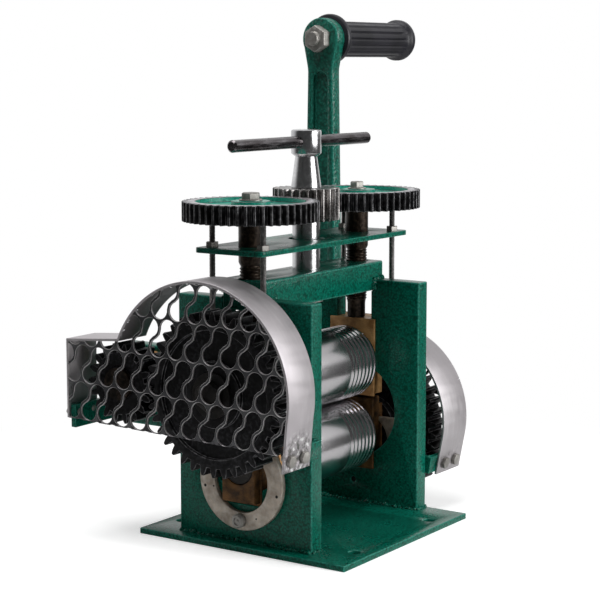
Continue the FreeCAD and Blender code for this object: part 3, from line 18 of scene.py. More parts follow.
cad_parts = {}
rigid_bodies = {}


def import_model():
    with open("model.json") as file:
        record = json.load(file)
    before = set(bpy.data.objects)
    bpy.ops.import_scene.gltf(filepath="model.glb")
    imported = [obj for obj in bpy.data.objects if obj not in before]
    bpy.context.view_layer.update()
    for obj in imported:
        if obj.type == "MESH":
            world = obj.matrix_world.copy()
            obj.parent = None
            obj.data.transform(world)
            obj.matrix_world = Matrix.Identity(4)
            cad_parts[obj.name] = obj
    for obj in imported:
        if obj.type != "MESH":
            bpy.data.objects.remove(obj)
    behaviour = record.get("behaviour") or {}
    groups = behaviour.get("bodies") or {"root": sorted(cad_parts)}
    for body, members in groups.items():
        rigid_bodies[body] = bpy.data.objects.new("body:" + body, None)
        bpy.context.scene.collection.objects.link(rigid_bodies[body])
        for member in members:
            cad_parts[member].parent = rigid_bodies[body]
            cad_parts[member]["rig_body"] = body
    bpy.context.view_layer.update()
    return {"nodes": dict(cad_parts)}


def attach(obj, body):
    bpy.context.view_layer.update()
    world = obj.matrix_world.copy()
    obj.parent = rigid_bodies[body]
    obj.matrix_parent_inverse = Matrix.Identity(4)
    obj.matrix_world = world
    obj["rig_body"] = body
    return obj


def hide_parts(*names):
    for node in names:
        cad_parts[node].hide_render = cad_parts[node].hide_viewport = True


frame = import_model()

LOG = logging.getLogger("rolling_mill")

MM = 0.001                   # sizes below are in millimetres, meshes in metres
TURN = 2 * math.pi
FLAT_BELOW = math.radians(0.6)
WHITE = (1.0, 1.0, 1.0, 1.0)

Point2 = tuple[float, float]
Point3 = tuple[float, float, float]
Colour = tuple[float, float, float]
Feeds = dict[str | int, object]


class Side(Enum):
    """The two ends of the mill, with the sign of their X."""

    LEFT = -1
    RIGHT = 1

    @property
    def word(self) -> str:
        """Name of the side as the nodes spell it."""
        return self.name.lower()


class Along(Enum):
    """Axis that a turned or pushed shape follows."""

    X = (1.0, 0.0, 0.0)
    Z = (0.0, 0.0, 1.0)

    def point(self, reach: float, across: Point2) -> Vector:
        """Point at a distance along the axis and at (y, z) across X or (x, y) across Z."""
        return Vector((reach, *across) if self is Along.X else (*across, reach))


class Slot(Enum):
    """Material slots of the record."""

    GREEN = "green_enamel"
    BRONZE = "bearing_bronze"
    ROLL = "roll_steel"
    IRON = "black_iron"
    GUARD = "guard_metal"
    PLATED = "plated_steel"
    CHROME = "chrome_plate"
    PINION = "pinion_steel"
    OILED = "oiled_steel"
    GRIP = "grip_plastic"


# ---- finishes ---------------------------------------------------------------------------


class Palette:
    """A tree of shader nodes in the making."""

    def __init__(self, owner: Material | World) -> None:
        """Opens a tree.

        Args:
            owner: material or world that the tree belongs to.
        """
        owner.use_nodes = True
        self.nodes = owner.node_tree.nodes
        self.links = owner.node_tree.links

    def feed(self, node: Node, feeds: Feeds) -> None:
        """Sets or connects the inputs of a node.

        Args:
            node: the node.
            feeds: constant or socket for each input.
        """
        for name, source in feeds.items():
            if isinstance(source, NodeSocket):
                self.links.new(source, node.inputs[name])
            else:
                node.inputs[name].default_value = source

    def add(self, kind: str, output: str, feeds: Feeds, **choices: str) -> NodeSocket:
        """Adds a node.

        Args:
            kind: its type, without the words that every type starts with.
            output: the output that is read.
            feeds: constant or socket for each input.
            choices: its settings.

        Returns:
            The output's socket.
        """
        node = self.nodes.new("ShaderNode" + kind)
        for name, choice in choices.items():
            setattr(node, name, choice)
        self.feed(node, feeds)
        return node.outputs[output]

    def ramp(self, source: NodeSocket, low: float, high: float) -> NodeSocket:
        """Source spread from 0 at low to 1 at high, and clipped there."""
        return self.add("MapRange", "Result", {"Value": source, "From Min": low, "From Max": high})

    def spread(self, factor: NodeSocket, low: float, high: float) -> NodeSocket:
        """Number that goes from low to high with a factor."""
        return self.add("MapRange", "Result", {"Value": factor, "To Min": low, "To Max": high})

    def product(self, one: NodeSocket, other: NodeSocket) -> NodeSocket:
        """Product of two factors."""
        return self.add("Math", "Value", {0: one, 1: other}, operation="MULTIPLY")

    def larger(self, one: NodeSocket, other: NodeSocket) -> NodeSocket:
        """The larger of two factors."""
        return self.add("Math", "Value", {0: one, 1: other}, operation="MAXIMUM")


class Paint(Palette):
    """A material in the making, read from Object coordinates."""

    FULL_WITHIN = 0.55           # share of a reach inside which a worn place is fully worn
    CELL_SOFTNESS = 0.6

    def __init__(self, name: str) -> None:
        """Starts a material.

        Args:
            name: name of the material.
        """
        self.material = bpy.data.materials.new(name)
        super().__init__(self.material)
        self.surface = self.nodes["Principled BSDF"]
        self.place = self.add("TexCoord", "Object", {})

    def stretched(self, scale: Point3) -> NodeSocket:
        """Object coordinates scaled along X, Y and Z."""
        return self.add("Mapping", "Vector", {"Scale": scale, "Vector": self.place})

    def noise(self, scale: float, detail: float = 3.0, place: NodeSocket | None = None) -> NodeSocket:
        """Cloudy noise from 0 to 1, by its repeats per metre and its octaves."""
        return self.add("TexNoise", "Fac", {"Scale": scale, "Detail": detail, "Vector": place or self.place})

    def cells(self, scale: float) -> NodeSocket:
        """Distances in soft rounded cells, by their number per metre."""
        return self.add("TexVoronoi", "Distance", {"Scale": scale, "Smoothness": self.CELL_SOFTNESS,
                                                 "Vector": self.place}, feature="SMOOTH_F1")

    def near(self, point: Point3, radius: float) -> NodeSocket:
        """Factor of 1 around a point of the object and 0 further out.

        Args:
            point: place in millimetres.
            radius: reach in millimetres.

        Returns:
            The factor socket.
        """
        spot = [part * MM for part in point]
        gap = self.add("VectorMath", "Value", {0: self.place, 1: spot}, operation="DISTANCE")
        return self.ramp(gap, radius * MM, radius * self.FULL_WITHIN * MM)

    def blend(self, factor: NodeSocket, low: Colour | NodeSocket, high: Colour) -> NodeSocket:
        """Colour that goes from low to high with a factor."""
        start = (*low, 1.0) if isinstance(low, tuple) else low
        return self.add("Mix", "Result", {"Factor": factor, "A": start, "B": (*high, 1.0)}, data_type="RGBA")

    def bump(self, height: NodeSocket, depth: float, strength: float = 1.0,
             under: NodeSocket | None = None) -> NodeSocket:
        """Relief of a depth in millimetres, which may lie on another relief."""
        feeds = {"Distance": depth * MM, "Strength": strength, "Height": height}
        return self.add("Bump", "Normal", {**feeds, "Normal": under} if under else feeds)

    def dress(self, colour: NodeSocket, roughness: NodeSocket, normal: NodeSocket,
              metallic: float = 0.0, gloss: float = 0.5) -> Material:
        """Connects the surface.

        Args:
            colour: base colour.
            roughness: roughness.
            normal: relief.
            metallic: 1 for bare metal.
            gloss: strength of the mirror of a painted or plastic skin.

        Returns:
            The finished material.
        """
        self.feed(self.surface, {"Base Color": colour, "Roughness": roughness, "Normal": normal,
                                 "Metallic": metallic, "Specular IOR Level": gloss})
        return self.material


@dataclass(frozen=True)
class HammeredEnamel:
    """Green enamel with a hammered skin."""

    name: str = "green_hammered_enamel"
    deep: Colour = (0.0004, 0.046, 0.029)
    light: Colour = (0.0014, 0.150, 0.100)
    # colour of the milky patches, a painted sheen on the enamel
    milky_sheen: Colour = (0.010, 0.20, 0.140)
    dimples: float = 950.0
    dimple_depth: float = 0.16
    gloss: float = 0.19

    def build(self) -> Material:
        """Makes the material.

        Returns:
            The finished material.
        """
        paint = Paint(self.name)
        cells = paint.cells(self.dimples)
        colour = paint.blend(paint.ramp(cells, 0.75, 0.12), self.deep, self.light)
        # Milky patches in clouds: a painted sheen on the enamel
        sheen_haze = paint.product(paint.ramp(paint.noise(14.0, 2.0), 0.50, 0.80),
                             paint.ramp(paint.noise(1300.0, 2.0), 0.45, 0.62))
        colour = paint.blend(sheen_haze, colour, self.milky_sheen)
        roughness = paint.spread(paint.noise(90.0, 4.0), 0.2, 0.38)
        relief = paint.bump(cells, self.dimple_depth, 0.8)
        relief = paint.bump(paint.noise(1500.0, 2.0), 0.05, 0.6, relief)
        return paint.dress(colour, roughness, relief, gloss=self.gloss)


@dataclass(frozen=True)
class BareMetal:
    """Bare metal with fine lines along one direction and clouds of tarnish."""

    name: str
    dark: Colour
    light: Colour
    rubbed: Colour
    grain: Point3 = (1.0, 1.0, 1.0)
    grain_scale: float = 600.0
    grain_depth: float = 0.02
    rough_low: float = 0.25
    rough_high: float = 0.45
    cloud_scale: float = 60.0
    metallic: float = 1.0
    pits: float = 0.0
    gloss: float = 0.5
    worn_at: Point3 | None = None
    worn_reach: float = 16.0
    flaked: Colour = (0.16, 0.16, 0.15)
    scraped: Colour = (0.85, 0.85, 0.84)

    def build(self) -> Material:
        """Makes the material.

        Returns:
            The finished material.
        """
        paint = Paint(self.name)
        lines = paint.noise(self.grain_scale, 4.0, paint.stretched(self.grain))
        clouds = paint.noise(self.cloud_scale, 5.0)
        colour = paint.blend(paint.ramp(clouds, 0.35, 0.68), self.dark, self.light)
        rubbing = paint.product(paint.ramp(lines, 0.45, 0.75), paint.ramp(clouds, 0.3, 0.8))
        colour = paint.blend(rubbing, colour, self.rubbed)
        roughness = paint.spread(paint.ramp(lines, 0.3, 0.7), self.rough_low, self.rough_high)
        relief = paint.bump(lines, self.grain_depth, 0.6)
        if self.pits:
            relief = paint.bump(paint.noise(480.0, 6.0), self.pits, 0.8, relief)
        if self.worn_at is not None:
            worn = paint.near(self.worn_at, self.worn_reach)
            flakes = paint.noise(420.0, 5.0)
            for low, high, tint in ((0.50, 0.60, self.flaked), (0.42, 0.34, self.scraped)):
                colour = paint.blend(paint.product(worn, paint.ramp(flakes, low, high)), colour, tint)
            relief = paint.bump(paint.product(worn, flakes), 0.5, 1.0, relief)
        return paint.dress(colour, roughness, relief, metallic=self.metallic, gloss=self.gloss)


@dataclass(frozen=True)
class MouldedPlastic:
    """Black moulded plastic, dusty and slightly scuffed."""

    name: str = "black_moulded_plastic"
    deep: Colour = (0.007, 0.007, 0.010)
    dusty: Colour = (0.022, 0.021, 0.029)
    gloss: float = 0.45

    def build(self) -> Material:
        """Makes the material.

        Returns:
            The finished material.
        """
        paint = Paint(self.name)
        colour = paint.blend(paint.ramp(paint.noise(45.0, 5.0), 0.4, 0.75), self.deep, self.dusty)
        roughness = paint.spread(paint.noise(200.0, 3.0), 0.34, 0.55)
        relief = paint.bump(paint.noise(1500.0, 2.0), 0.03, 0.6)
        return paint.dress(colour, roughness, relief, gloss=self.gloss)


def mixed(recipe: HammeredEnamel | BareMetal | MouldedPlastic) -> Material:
    return field(default_factory=recipe.build)


SHEET = BareMetal(
    "brushed_guard_sheet", (0.40, 0.375, 0.39), (0.45, 0.43, 0.44), (0.56, 0.54, 0.55),
    grain=(3.0, 0.35, 0.35), grain_scale=260.0, grain_depth=0.012, rough_low=0.50, rough_high=0.62,
    cloud_scale=14.0)
ZINC = BareMetal(
    "dull_zinc", (0.20, 0.19, 0.175), (0.36, 0.345, 0.32), (0.56, 0.55, 0.53),
    rough_low=0.34, rough_high=0.58, metallic=0.6, pits=0.03)
BRONZE = BareMetal(
    "sawn_bronze", (0.27, 0.13, 0.04), (0.60, 0.34, 0.13), (0.70, 0.45, 0.22),
    grain=(1.0, 1.0, 7.0), grain_scale=420.0, grain_depth=0.08, rough_low=0.4, rough_high=0.65,
    cloud_scale=150.0, metallic=0.3, pits=0.12)


@dataclass(frozen=True)
class Finishes:
    """All finishes of the mill, built once."""

    enamel: Material = mixed(HammeredEnamel())
    # Lighter green of the rounded edges: rubbed paint, and a painted highlight, strongest on the crank arm's
    # rim
    enamel_wear_and_highlight_edge: Material = mixed(HammeredEnamel(
        "rubbed_enamel_edge", (0.006, 0.10, 0.07), (0.03, 0.24, 0.18)))
    # Crank arm enamel, lighter than the frame's as painted light on its lit faces, with a bright milky
    # painted sheen for its sparkle
    cast: Material = mixed(HammeredEnamel(
        "cast_arm_enamel", (0.001, 0.060, 0.040), (0.006, 0.165, 0.115), (0.10, 0.34, 0.26),
        dimples=700.0, dimple_depth=0.34, gloss=0.6))
    # Grey rounded edges of the black iron: rubbed tooth edges with a painted highlight
    iron_wear_and_highlight_edge: Material = mixed(BareMetal(
        "rubbed_tooth_edge", (0.02, 0.02, 0.022), (0.12, 0.12, 0.125), (0.30, 0.30, 0.31),
        cloud_scale=300.0, metallic=0.5))
    # Lighter green for the gear webs: painted light standing in for the top light on these open upward faces
    lit_web_enamel: Material = mixed(HammeredEnamel(
        "bright_gear_enamel", (0.006, 0.19, 0.135), (0.03, 0.34, 0.25), dimple_depth=0.08))
    # Darker bronze for the lower blocks: painted shade where they sit low under the rolls, together with
    # grease
    shaded_grimy: Material = mixed(replace(
        BRONZE, name="grimy_sawn_bronze", dark=(0.022, 0.010, 0.003), light=(0.14, 0.065, 0.018),
        rubbed=(0.24, 0.13, 0.05), grain_depth=0.10, rough_low=0.45, rough_high=0.7,
        cloud_scale=190.0, pits=0.15, gloss=0.3))
    bronze: Material = mixed(BRONZE)
    roll: Material = mixed(BareMetal(
        "ground_roll_steel", (0.46, 0.45, 0.46), (0.54, 0.525, 0.54), (0.66, 0.65, 0.66),
        grain=(9.0, 0.35, 0.35), grain_scale=420.0, grain_depth=0.006,
        rough_low=0.17, rough_high=0.26, cloud_scale=14.0))
    iron: Material = mixed(BareMetal(
        "oiled_black_iron", (0.0010, 0.0010, 0.0013), (0.0032, 0.0032, 0.0038), (0.05, 0.05, 0.055),
        rough_low=0.36, rough_high=0.6, metallic=0.0, pits=0.05, gloss=0.14))
    rim: Material = mixed(BareMetal(
        "scraped_gear_rim", (0.30, 0.29, 0.31), (0.46, 0.45, 0.47), (0.62, 0.61, 0.62),
        rough_low=0.3, rough_high=0.5, cloud_scale=160.0, pits=0.03))
    sheet: Material = mixed(SHEET)
    foot: Material = mixed(replace(SHEET, name="worn_guard_sheet", worn_at=(-75.0, -45.0, 53.0)))
    punched: Material = mixed(replace(
        SHEET, name="dull_punched_sheet", dark=(0.055, 0.055, 0.058), light=(0.10, 0.10, 0.105),
        rubbed=(0.18, 0.18, 0.18), rough_low=0.4, rough_high=0.5))
    # Light finish of the punched openings' rounded edges: bright cut metal with a painted highlight
    burr: Material = mixed(replace(
        SHEET, name="bright_punched_edge", dark=(0.34, 0.33, 0.33), light=(0.62, 0.61, 0.61),
        rubbed=(0.85, 0.84, 0.83), cloud_scale=240.0, metallic=0.35, rough_low=0.25, rough_high=0.4))
    plated: Material = mixed(ZINC)
    ring: Material = mixed(replace(
        ZINC, name="mottled_keeper_zinc", dark=(0.30, 0.25, 0.20), light=(0.56, 0.49, 0.41),
        metallic=0.25, cloud_scale=220.0, pits=0.08))
    steel: Material = mixed(BareMetal(
        "drawn_rod_steel", (0.14, 0.135, 0.13), (0.26, 0.25, 0.245), (0.45, 0.44, 0.43),
        rough_low=0.28, rough_high=0.48, metallic=0.85))
    chrome: Material = mixed(BareMetal(
        "bright_chrome", (0.42, 0.42, 0.43), (0.54, 0.54, 0.55), (0.70, 0.70, 0.71),
        rough_low=0.16, rough_high=0.26, grain_depth=0.005))
    tee: Material = mixed(BareMetal(
        "tee_bar_steel", (0.06, 0.05, 0.05), (0.15, 0.14, 0.15), (0.30, 0.29, 0.30),
        grain=(0.25, 2.0, 2.0), rough_low=0.16, rough_high=0.34))
    pinion: Material = mixed(BareMetal(
        "cut_tooth_steel", (0.14, 0.13, 0.125), (0.34, 0.33, 0.325), (0.6, 0.59, 0.58),
        grain=(1.0, 1.0, 5.0), rough_low=0.22, rough_high=0.42))
    oiled: Material = mixed(BareMetal(
        "brown_oiled_steel", (0.004, 0.003, 0.0022), (0.022, 0.014, 0.009), (0.12, 0.085, 0.06),
        rough_low=0.3, rough_high=0.5, metallic=0.6, pits=0.05, cloud_scale=110.0, gloss=0.3))
    greasy: Material = mixed(BareMetal(
        "greasy_black_steel", (0.004, 0.004, 0.004), (0.014, 0.012, 0.010), (0.05, 0.045, 0.04),
        rough_low=0.35, rough_high=0.6, metallic=0.3, pits=0.05, gloss=0.3))
    plastic: Material = mixed(MouldedPlastic())


# ---- shapes -------------------------------------------------------------------------------


def arc_points(centre: Point2, radius: float, start: float, end: float, count: int) -> list[Point2]:
    """Points on an arc.

    Args:
        centre: centre of the arc.
        radius: its radius.
        start: first angle.
        end: last angle.
        count: number of points, both ends included.

    Returns:
        The points in order.
    """
    return [(centre[0] + radius * math.cos(start + (end - start) * i / (count - 1)),
             centre[1] + radius * math.sin(start + (end - start) * i / (count - 1)))
            for i in range(count)]


@contextmanager
def opened(source: Mesh, target: Mesh) -> Iterator[BMesh]:
    """Opens a mesh for work.

    Args:
        source: mesh to read.
        target: mesh to write, which may be the same one.

    Yields:
        The open mesh.
    """
    bm = bmesh.new()
    bm.from_mesh(source)
    yield bm
    bm.to_mesh(target)
    bm.free()


def join_flats(bm: BMesh) -> None:
    """Joins the faces that lie in one plane."""
    bmesh.ops.dissolve_limit(bm, angle_limit=FLAT_BELOW, use_dissolve_boundaries=False,
                             verts=bm.verts, edges=bm.edges)


def put(name: str, data: ID) -> Object:
    """Puts a new object at the origin of the scene.

    Args:
        name: name of the object.
        data: its mesh, lamp or camera.

    Returns:
        The object.
    """
    item = bpy.data.objects.new(name, data)
    bpy.context.scene.collection.objects.link(item)
    return item


class Shape:
    """A mesh in the making, in millimetres."""

    JOIN = 1e-4                  # points closer than this are one

    def __init__(self) -> None:
        """Starts with an empty mesh."""
        self.bm = bmesh.new()

    def _place(self, along: Along, at: Point2, reach: float, out: float) -> Vector:
        """Point at a distance along an axis and a radius out from it."""
        return along.point(reach, (at[0], at[1] + out) if along is Along.X else (at[0] + out, at[1]))

    def turned(self, profile: Sequence[Point2], along: Along, at: Point2, steps: int = 64,
               closed: bool = False, finish: int = 0) -> "Shape":
        """Adds a round form.

        Args:
            profile: (distance along the axis, radius) points.
            along: axis of the turning.
            at: the axis's place in its cross plane.
            steps: segments of the full turn.
            closed: True for a ring, whose profile is a closed loop.
            finish: material index.

        Returns:
            The shape itself.
        """
        old = set(self.bm.faces)
        verts = [self.bm.verts.new(self._place(along, at, reach, out)) for reach, out in profile]
        pairs = list(zip(verts, verts[1:]))
        if closed:
            pairs.append((verts[-1], verts[0]))
        edges = [self.bm.edges.new(pair) for pair in pairs]
        bmesh.ops.spin(self.bm, geom=verts + edges, cent=self._place(along, at, 0.0, 0.0),
                       axis=along.value, angle=TURN, steps=steps, use_merge=True)
        fresh = {vert for face in self.bm.faces if face not in old for vert in face.verts}
        bmesh.ops.remove_doubles(self.bm, verts=list(fresh), dist=self.JOIN)
        for face in self.bm.faces:
            if face not in old:
                face.material_index = finish
        return self

    def disc(self, radius: float, along: Along, at: Point2, low: float, high: float, steps: int,
             finish: int = 0) -> "Shape":
        """Adds a plain washer or rod from low to high, of a number of segments."""
        profile = [(low, 0.0), (low, radius), (high, radius), (high, 0.0)]
        return self.turned(profile, along, at, steps, finish=finish)

    def pushed(self, outline: Sequence[Point2], along: Along, low: float, high: float) -> "Shape":
        """Adds a straight form of a flat outline.

        Args:
            outline: corners in the cross plane, (y, z) along X and (x, y) along Z.
            along: direction of the push.
            low: where it starts.
            high: where it ends.

        Returns:
            The shape itself.
        """
        face = self.bm.faces.new([self.bm.verts.new(along.point(low, corner)) for corner in outline])
        grown = bmesh.ops.extrude_face_region(self.bm, geom=[face], use_keep_orig=True)
        moved = [item for item in grown["geom"] if isinstance(item, BMVert)]
        bmesh.ops.translate(self.bm, verts=moved, vec=Vector(along.value) * (high - low))
        return self

    def hexagon(self, flats: float, along: Along, at: Point2, low: float, high: float,
                chamfer: float = 0.35) -> "Shape":
        """Adds a hexagon with its outer corners turned off.

        Args:
            flats: width across the flats.
            along: axis of the hexagon.
            at: the axis's place.
            low: seat.
            high: outer end.
            chamfer: how much the outer corners lose.

        Returns:
            The shape itself.
        """
        corner = flats / math.sqrt(3)
        outline = [(at[0] + corner * math.cos(TURN * (i + 0.5) / 6),
                    at[1] + corner * math.sin(TURN * (i + 0.5) / 6)) for i in range(6)]
        old = set(self.bm.edges)
        self.pushed(outline, along, low, high)
        axis = Vector(along.value)
        rim = [edge for edge in self.bm.edges if edge not in old
               and all(abs(vert.co.dot(axis) - high) < self.JOIN for vert in edge.verts)]
        bmesh.ops.bevel(self.bm, geom=rim, offset=chamfer, offset_type="OFFSET", segments=2,
                        profile=0.5, affect="EDGES", material=-1)
        return self

    def threaded(self, core: float, crest: float, pitch: float, along: Along, at: Point2,
                 low: float, high: float, steps: int = 28) -> "Shape":
        """Adds a rod with a screw thread.

        Args:
            core: radius at the thread's root.
            crest: radius at its top.
            pitch: distance between turns.
            along: axis of the rod.
            at: the axis's place.
            low: start of the thread.
            high: end of the thread.
            steps: segments of a turn.

        Returns:
            The shape itself.
        """
        old = set(self.bm.verts)
        rows = max(2, round((high - low) / pitch * 5))
        gap = (high - low) / rows
        profile = [(low, 0.0)] + [(low + gap * i, core) for i in range(rows + 1)] + [(high, 0.0)]
        self.turned(profile, along, at, steps)
        centre = self._place(along, at, 0.0, 0.0)
        axis = Vector(along.value)
        across = Vector((0, 1, 0)) if along is Along.X else Vector((1, 0, 0))
        other = axis.cross(across)
        for vert in self.bm.verts:
            if vert in old:
                continue
            reach = vert.co.dot(axis)
            arm = vert.co - centre
            arm = arm - axis * arm.dot(axis)
            if arm.length < core * 0.5:
                continue
            turn = math.atan2(arm.dot(other), arm.dot(across)) / TURN
            wave = abs(((reach - low) / pitch - turn) % 1.0 - 0.5) * 2
            fade = min(1.0, (reach - low) / pitch, (high - reach) / pitch)
            grow = (crest - core) * min(1.0, wave * 1.25) * max(0.0, fade)
            vert.co += arm.normalized() * grow
        return self

    def drops(self, path: Iterable[Vector], radius: Point2, chance: random.Random,
              sway: float = 0.0, flat: Point3 = (1.0, 1.0, 1.0)) -> "Shape":
        """Adds uneven weld drops.

        Args:
            path: centres of the drops.
            radius: smallest and largest radius.
            chance: source of the unevenness.
            sway: how far a centre strays.
            flat: squash along X, Y and Z.

        Returns:
            The shape itself.
        """
        for centre in path:
            size = chance.uniform(*radius)
            place = centre + Vector([chance.uniform(-sway, sway) * axis for axis in flat])
            form = Matrix.Diagonal((*[axis * chance.uniform(0.8, 1.2) for axis in flat], 1.0))
            made = bmesh.ops.create_icosphere(self.bm, subdivisions=2, radius=size,
                                              matrix=Matrix.Translation(place) @ form)
            for vert in made["verts"]:
                vert.co = place + (vert.co - place) * chance.uniform(0.9, 1.08)
        return self

    def moved(self, change: Callable[[Vector], Vector]) -> "Shape":
        """Moves every vertex by a rule.

        Args:
            change: rule from a place to a new one, in millimetres.

        Returns:
            The shape itself.
        """
        for vert in self.bm.verts:
            vert.co = change(vert.co)
        return self

    def mesh(self, name: str) -> Mesh:
        """Ends the making.

        Args:
            name: name of the mesh.

        Returns:
            The mesh in metres, with its faces pointing outwards.
        """
        bmesh.ops.recalc_face_normals(self.bm, faces=self.bm.faces)
        bmesh.ops.scale(self.bm, vec=(MM, MM, MM), verts=self.bm.verts)
        mesh = bpy.data.meshes.new(name)
        self.bm.to_mesh(mesh)
        self.bm.free()
        return mesh


class Bench:
    """Puts finished pieces into the scene and on their bodies."""

    SMOOTH_BELOW = math.radians(32)
    BEVEL_ABOVE = math.radians(28)
    MERGE = 1e-6                 # metres between the doubled points of a CAD mesh

    def __init__(self, kit: Finishes) -> None:
        """Keeps the finishes at hand, and the lighter finish of each one's rounded edges, which paints rubbed
        wear together with a highlight.
        """
        self.kit = kit
        # Rounded edges take lighter finishes that paint rubbed wear together with a highlight
        self.edges = {kit.enamel: kit.enamel_wear_and_highlight_edge, kit.cast: kit.enamel_wear_and_highlight_edge, kit.iron: kit.iron_wear_and_highlight_edge}

    def fit(self, mesh: Mesh, body: str, slot: Slot, finishes: Iterable[Material], bevel: float = 0.0,
            replaces: Sequence[str] = (), edge: Material | None = None) -> Object:
        """Makes a piece of a mesh.

        Args:
            mesh: finished mesh in metres.
            body: body that the piece rides on.
            slot: the record's slot, not used.
            finishes: materials by index.
            bevel: width of the rounded edges in millimetres, 0 for none.
            replaces: CAD nodes that the piece stands for.
            edge: material of the rounded edges, or None for that of the faces.

        Returns:
            The new object.
        """
        piece = put(mesh.name, mesh)
        for finish in (*finishes, *([edge] if edge else [])):
            mesh.materials.append(finish)
        mesh.shade_smooth()
        if bevel:
            rounding = piece.modifiers.new("rounded_edges", "BEVEL")
            rounding.width = bevel * MM
            rounding.segments = 2
            rounding.limit_method = "ANGLE"
            rounding.angle_limit = self.BEVEL_ABOVE
            rounding.harden_normals = True
            rounding.use_clamp_overlap = False
            if edge:
                rounding.material = len(mesh.materials) - 1
        else:
            mesh.set_sharp_from_angle(angle=self.SMOOTH_BELOW)
        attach(piece, body)
        if replaces:
            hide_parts(*replaces)
        LOG.info("%s rides on %s", piece.name, body)
        return piece

    def copy_of(self, node: str) -> Mesh:
        """Merged copy of a CAD node's mesh, with its flat faces joined.

        Args:
            node: name of the node.

        Returns:
            The new mesh, in metres.
        """
        mesh = bpy.data.meshes.new(node + "_dressed")
        with opened(frame["nodes"][node].data, mesh) as bm:
            bmesh.ops.remove_doubles(bm, verts=bm.verts, dist=self.MERGE)
            join_flats(bm)
        for face in mesh.polygons:
            face.material_index = 0
        return mesh

    def dress(self, node: str, slot: Slot, finish: Material, bevel: float,
              others: Sequence[Material] = (), pick: Callable[[list[Vector]], int] | None = None,
              change: Callable[[Vector], Vector] | None = None) -> None:
        """Replaces a CAD node by a copy with rounded edges.

        Args:
            node: name of the node.
            slot: the record's slot.
            finish: its material.
            bevel: width of the rounded edges in millimetres.
            others: further materials.
            pick: rule from a face's corners in millimetres to a material index.
            change: rule that moves a point, in millimetres.
        """
        mesh = self.copy_of(node)
        if pick is not None:
            for face in mesh.polygons:
                face.material_index = pick([mesh.vertices[i].co / MM for i in face.vertices])
        if change is not None:
            for vert in mesh.vertices:
                vert.co = change(vert.co / MM) * MM
        body = frame["nodes"][node]["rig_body"]
        self.fit(mesh, body, slot, [finish, *others], bevel, [node], self.edges.get(finish))

    def dress_all(self, nodes: Iterable[str], slot: Slot, finish: Material, bevel: float) -> None:
        """Dresses several CAD nodes alike."""
        for node in nodes:
            self.dress(node, slot, finish, bevel)


# ---- frame ----------------------------------------------------------------------------------


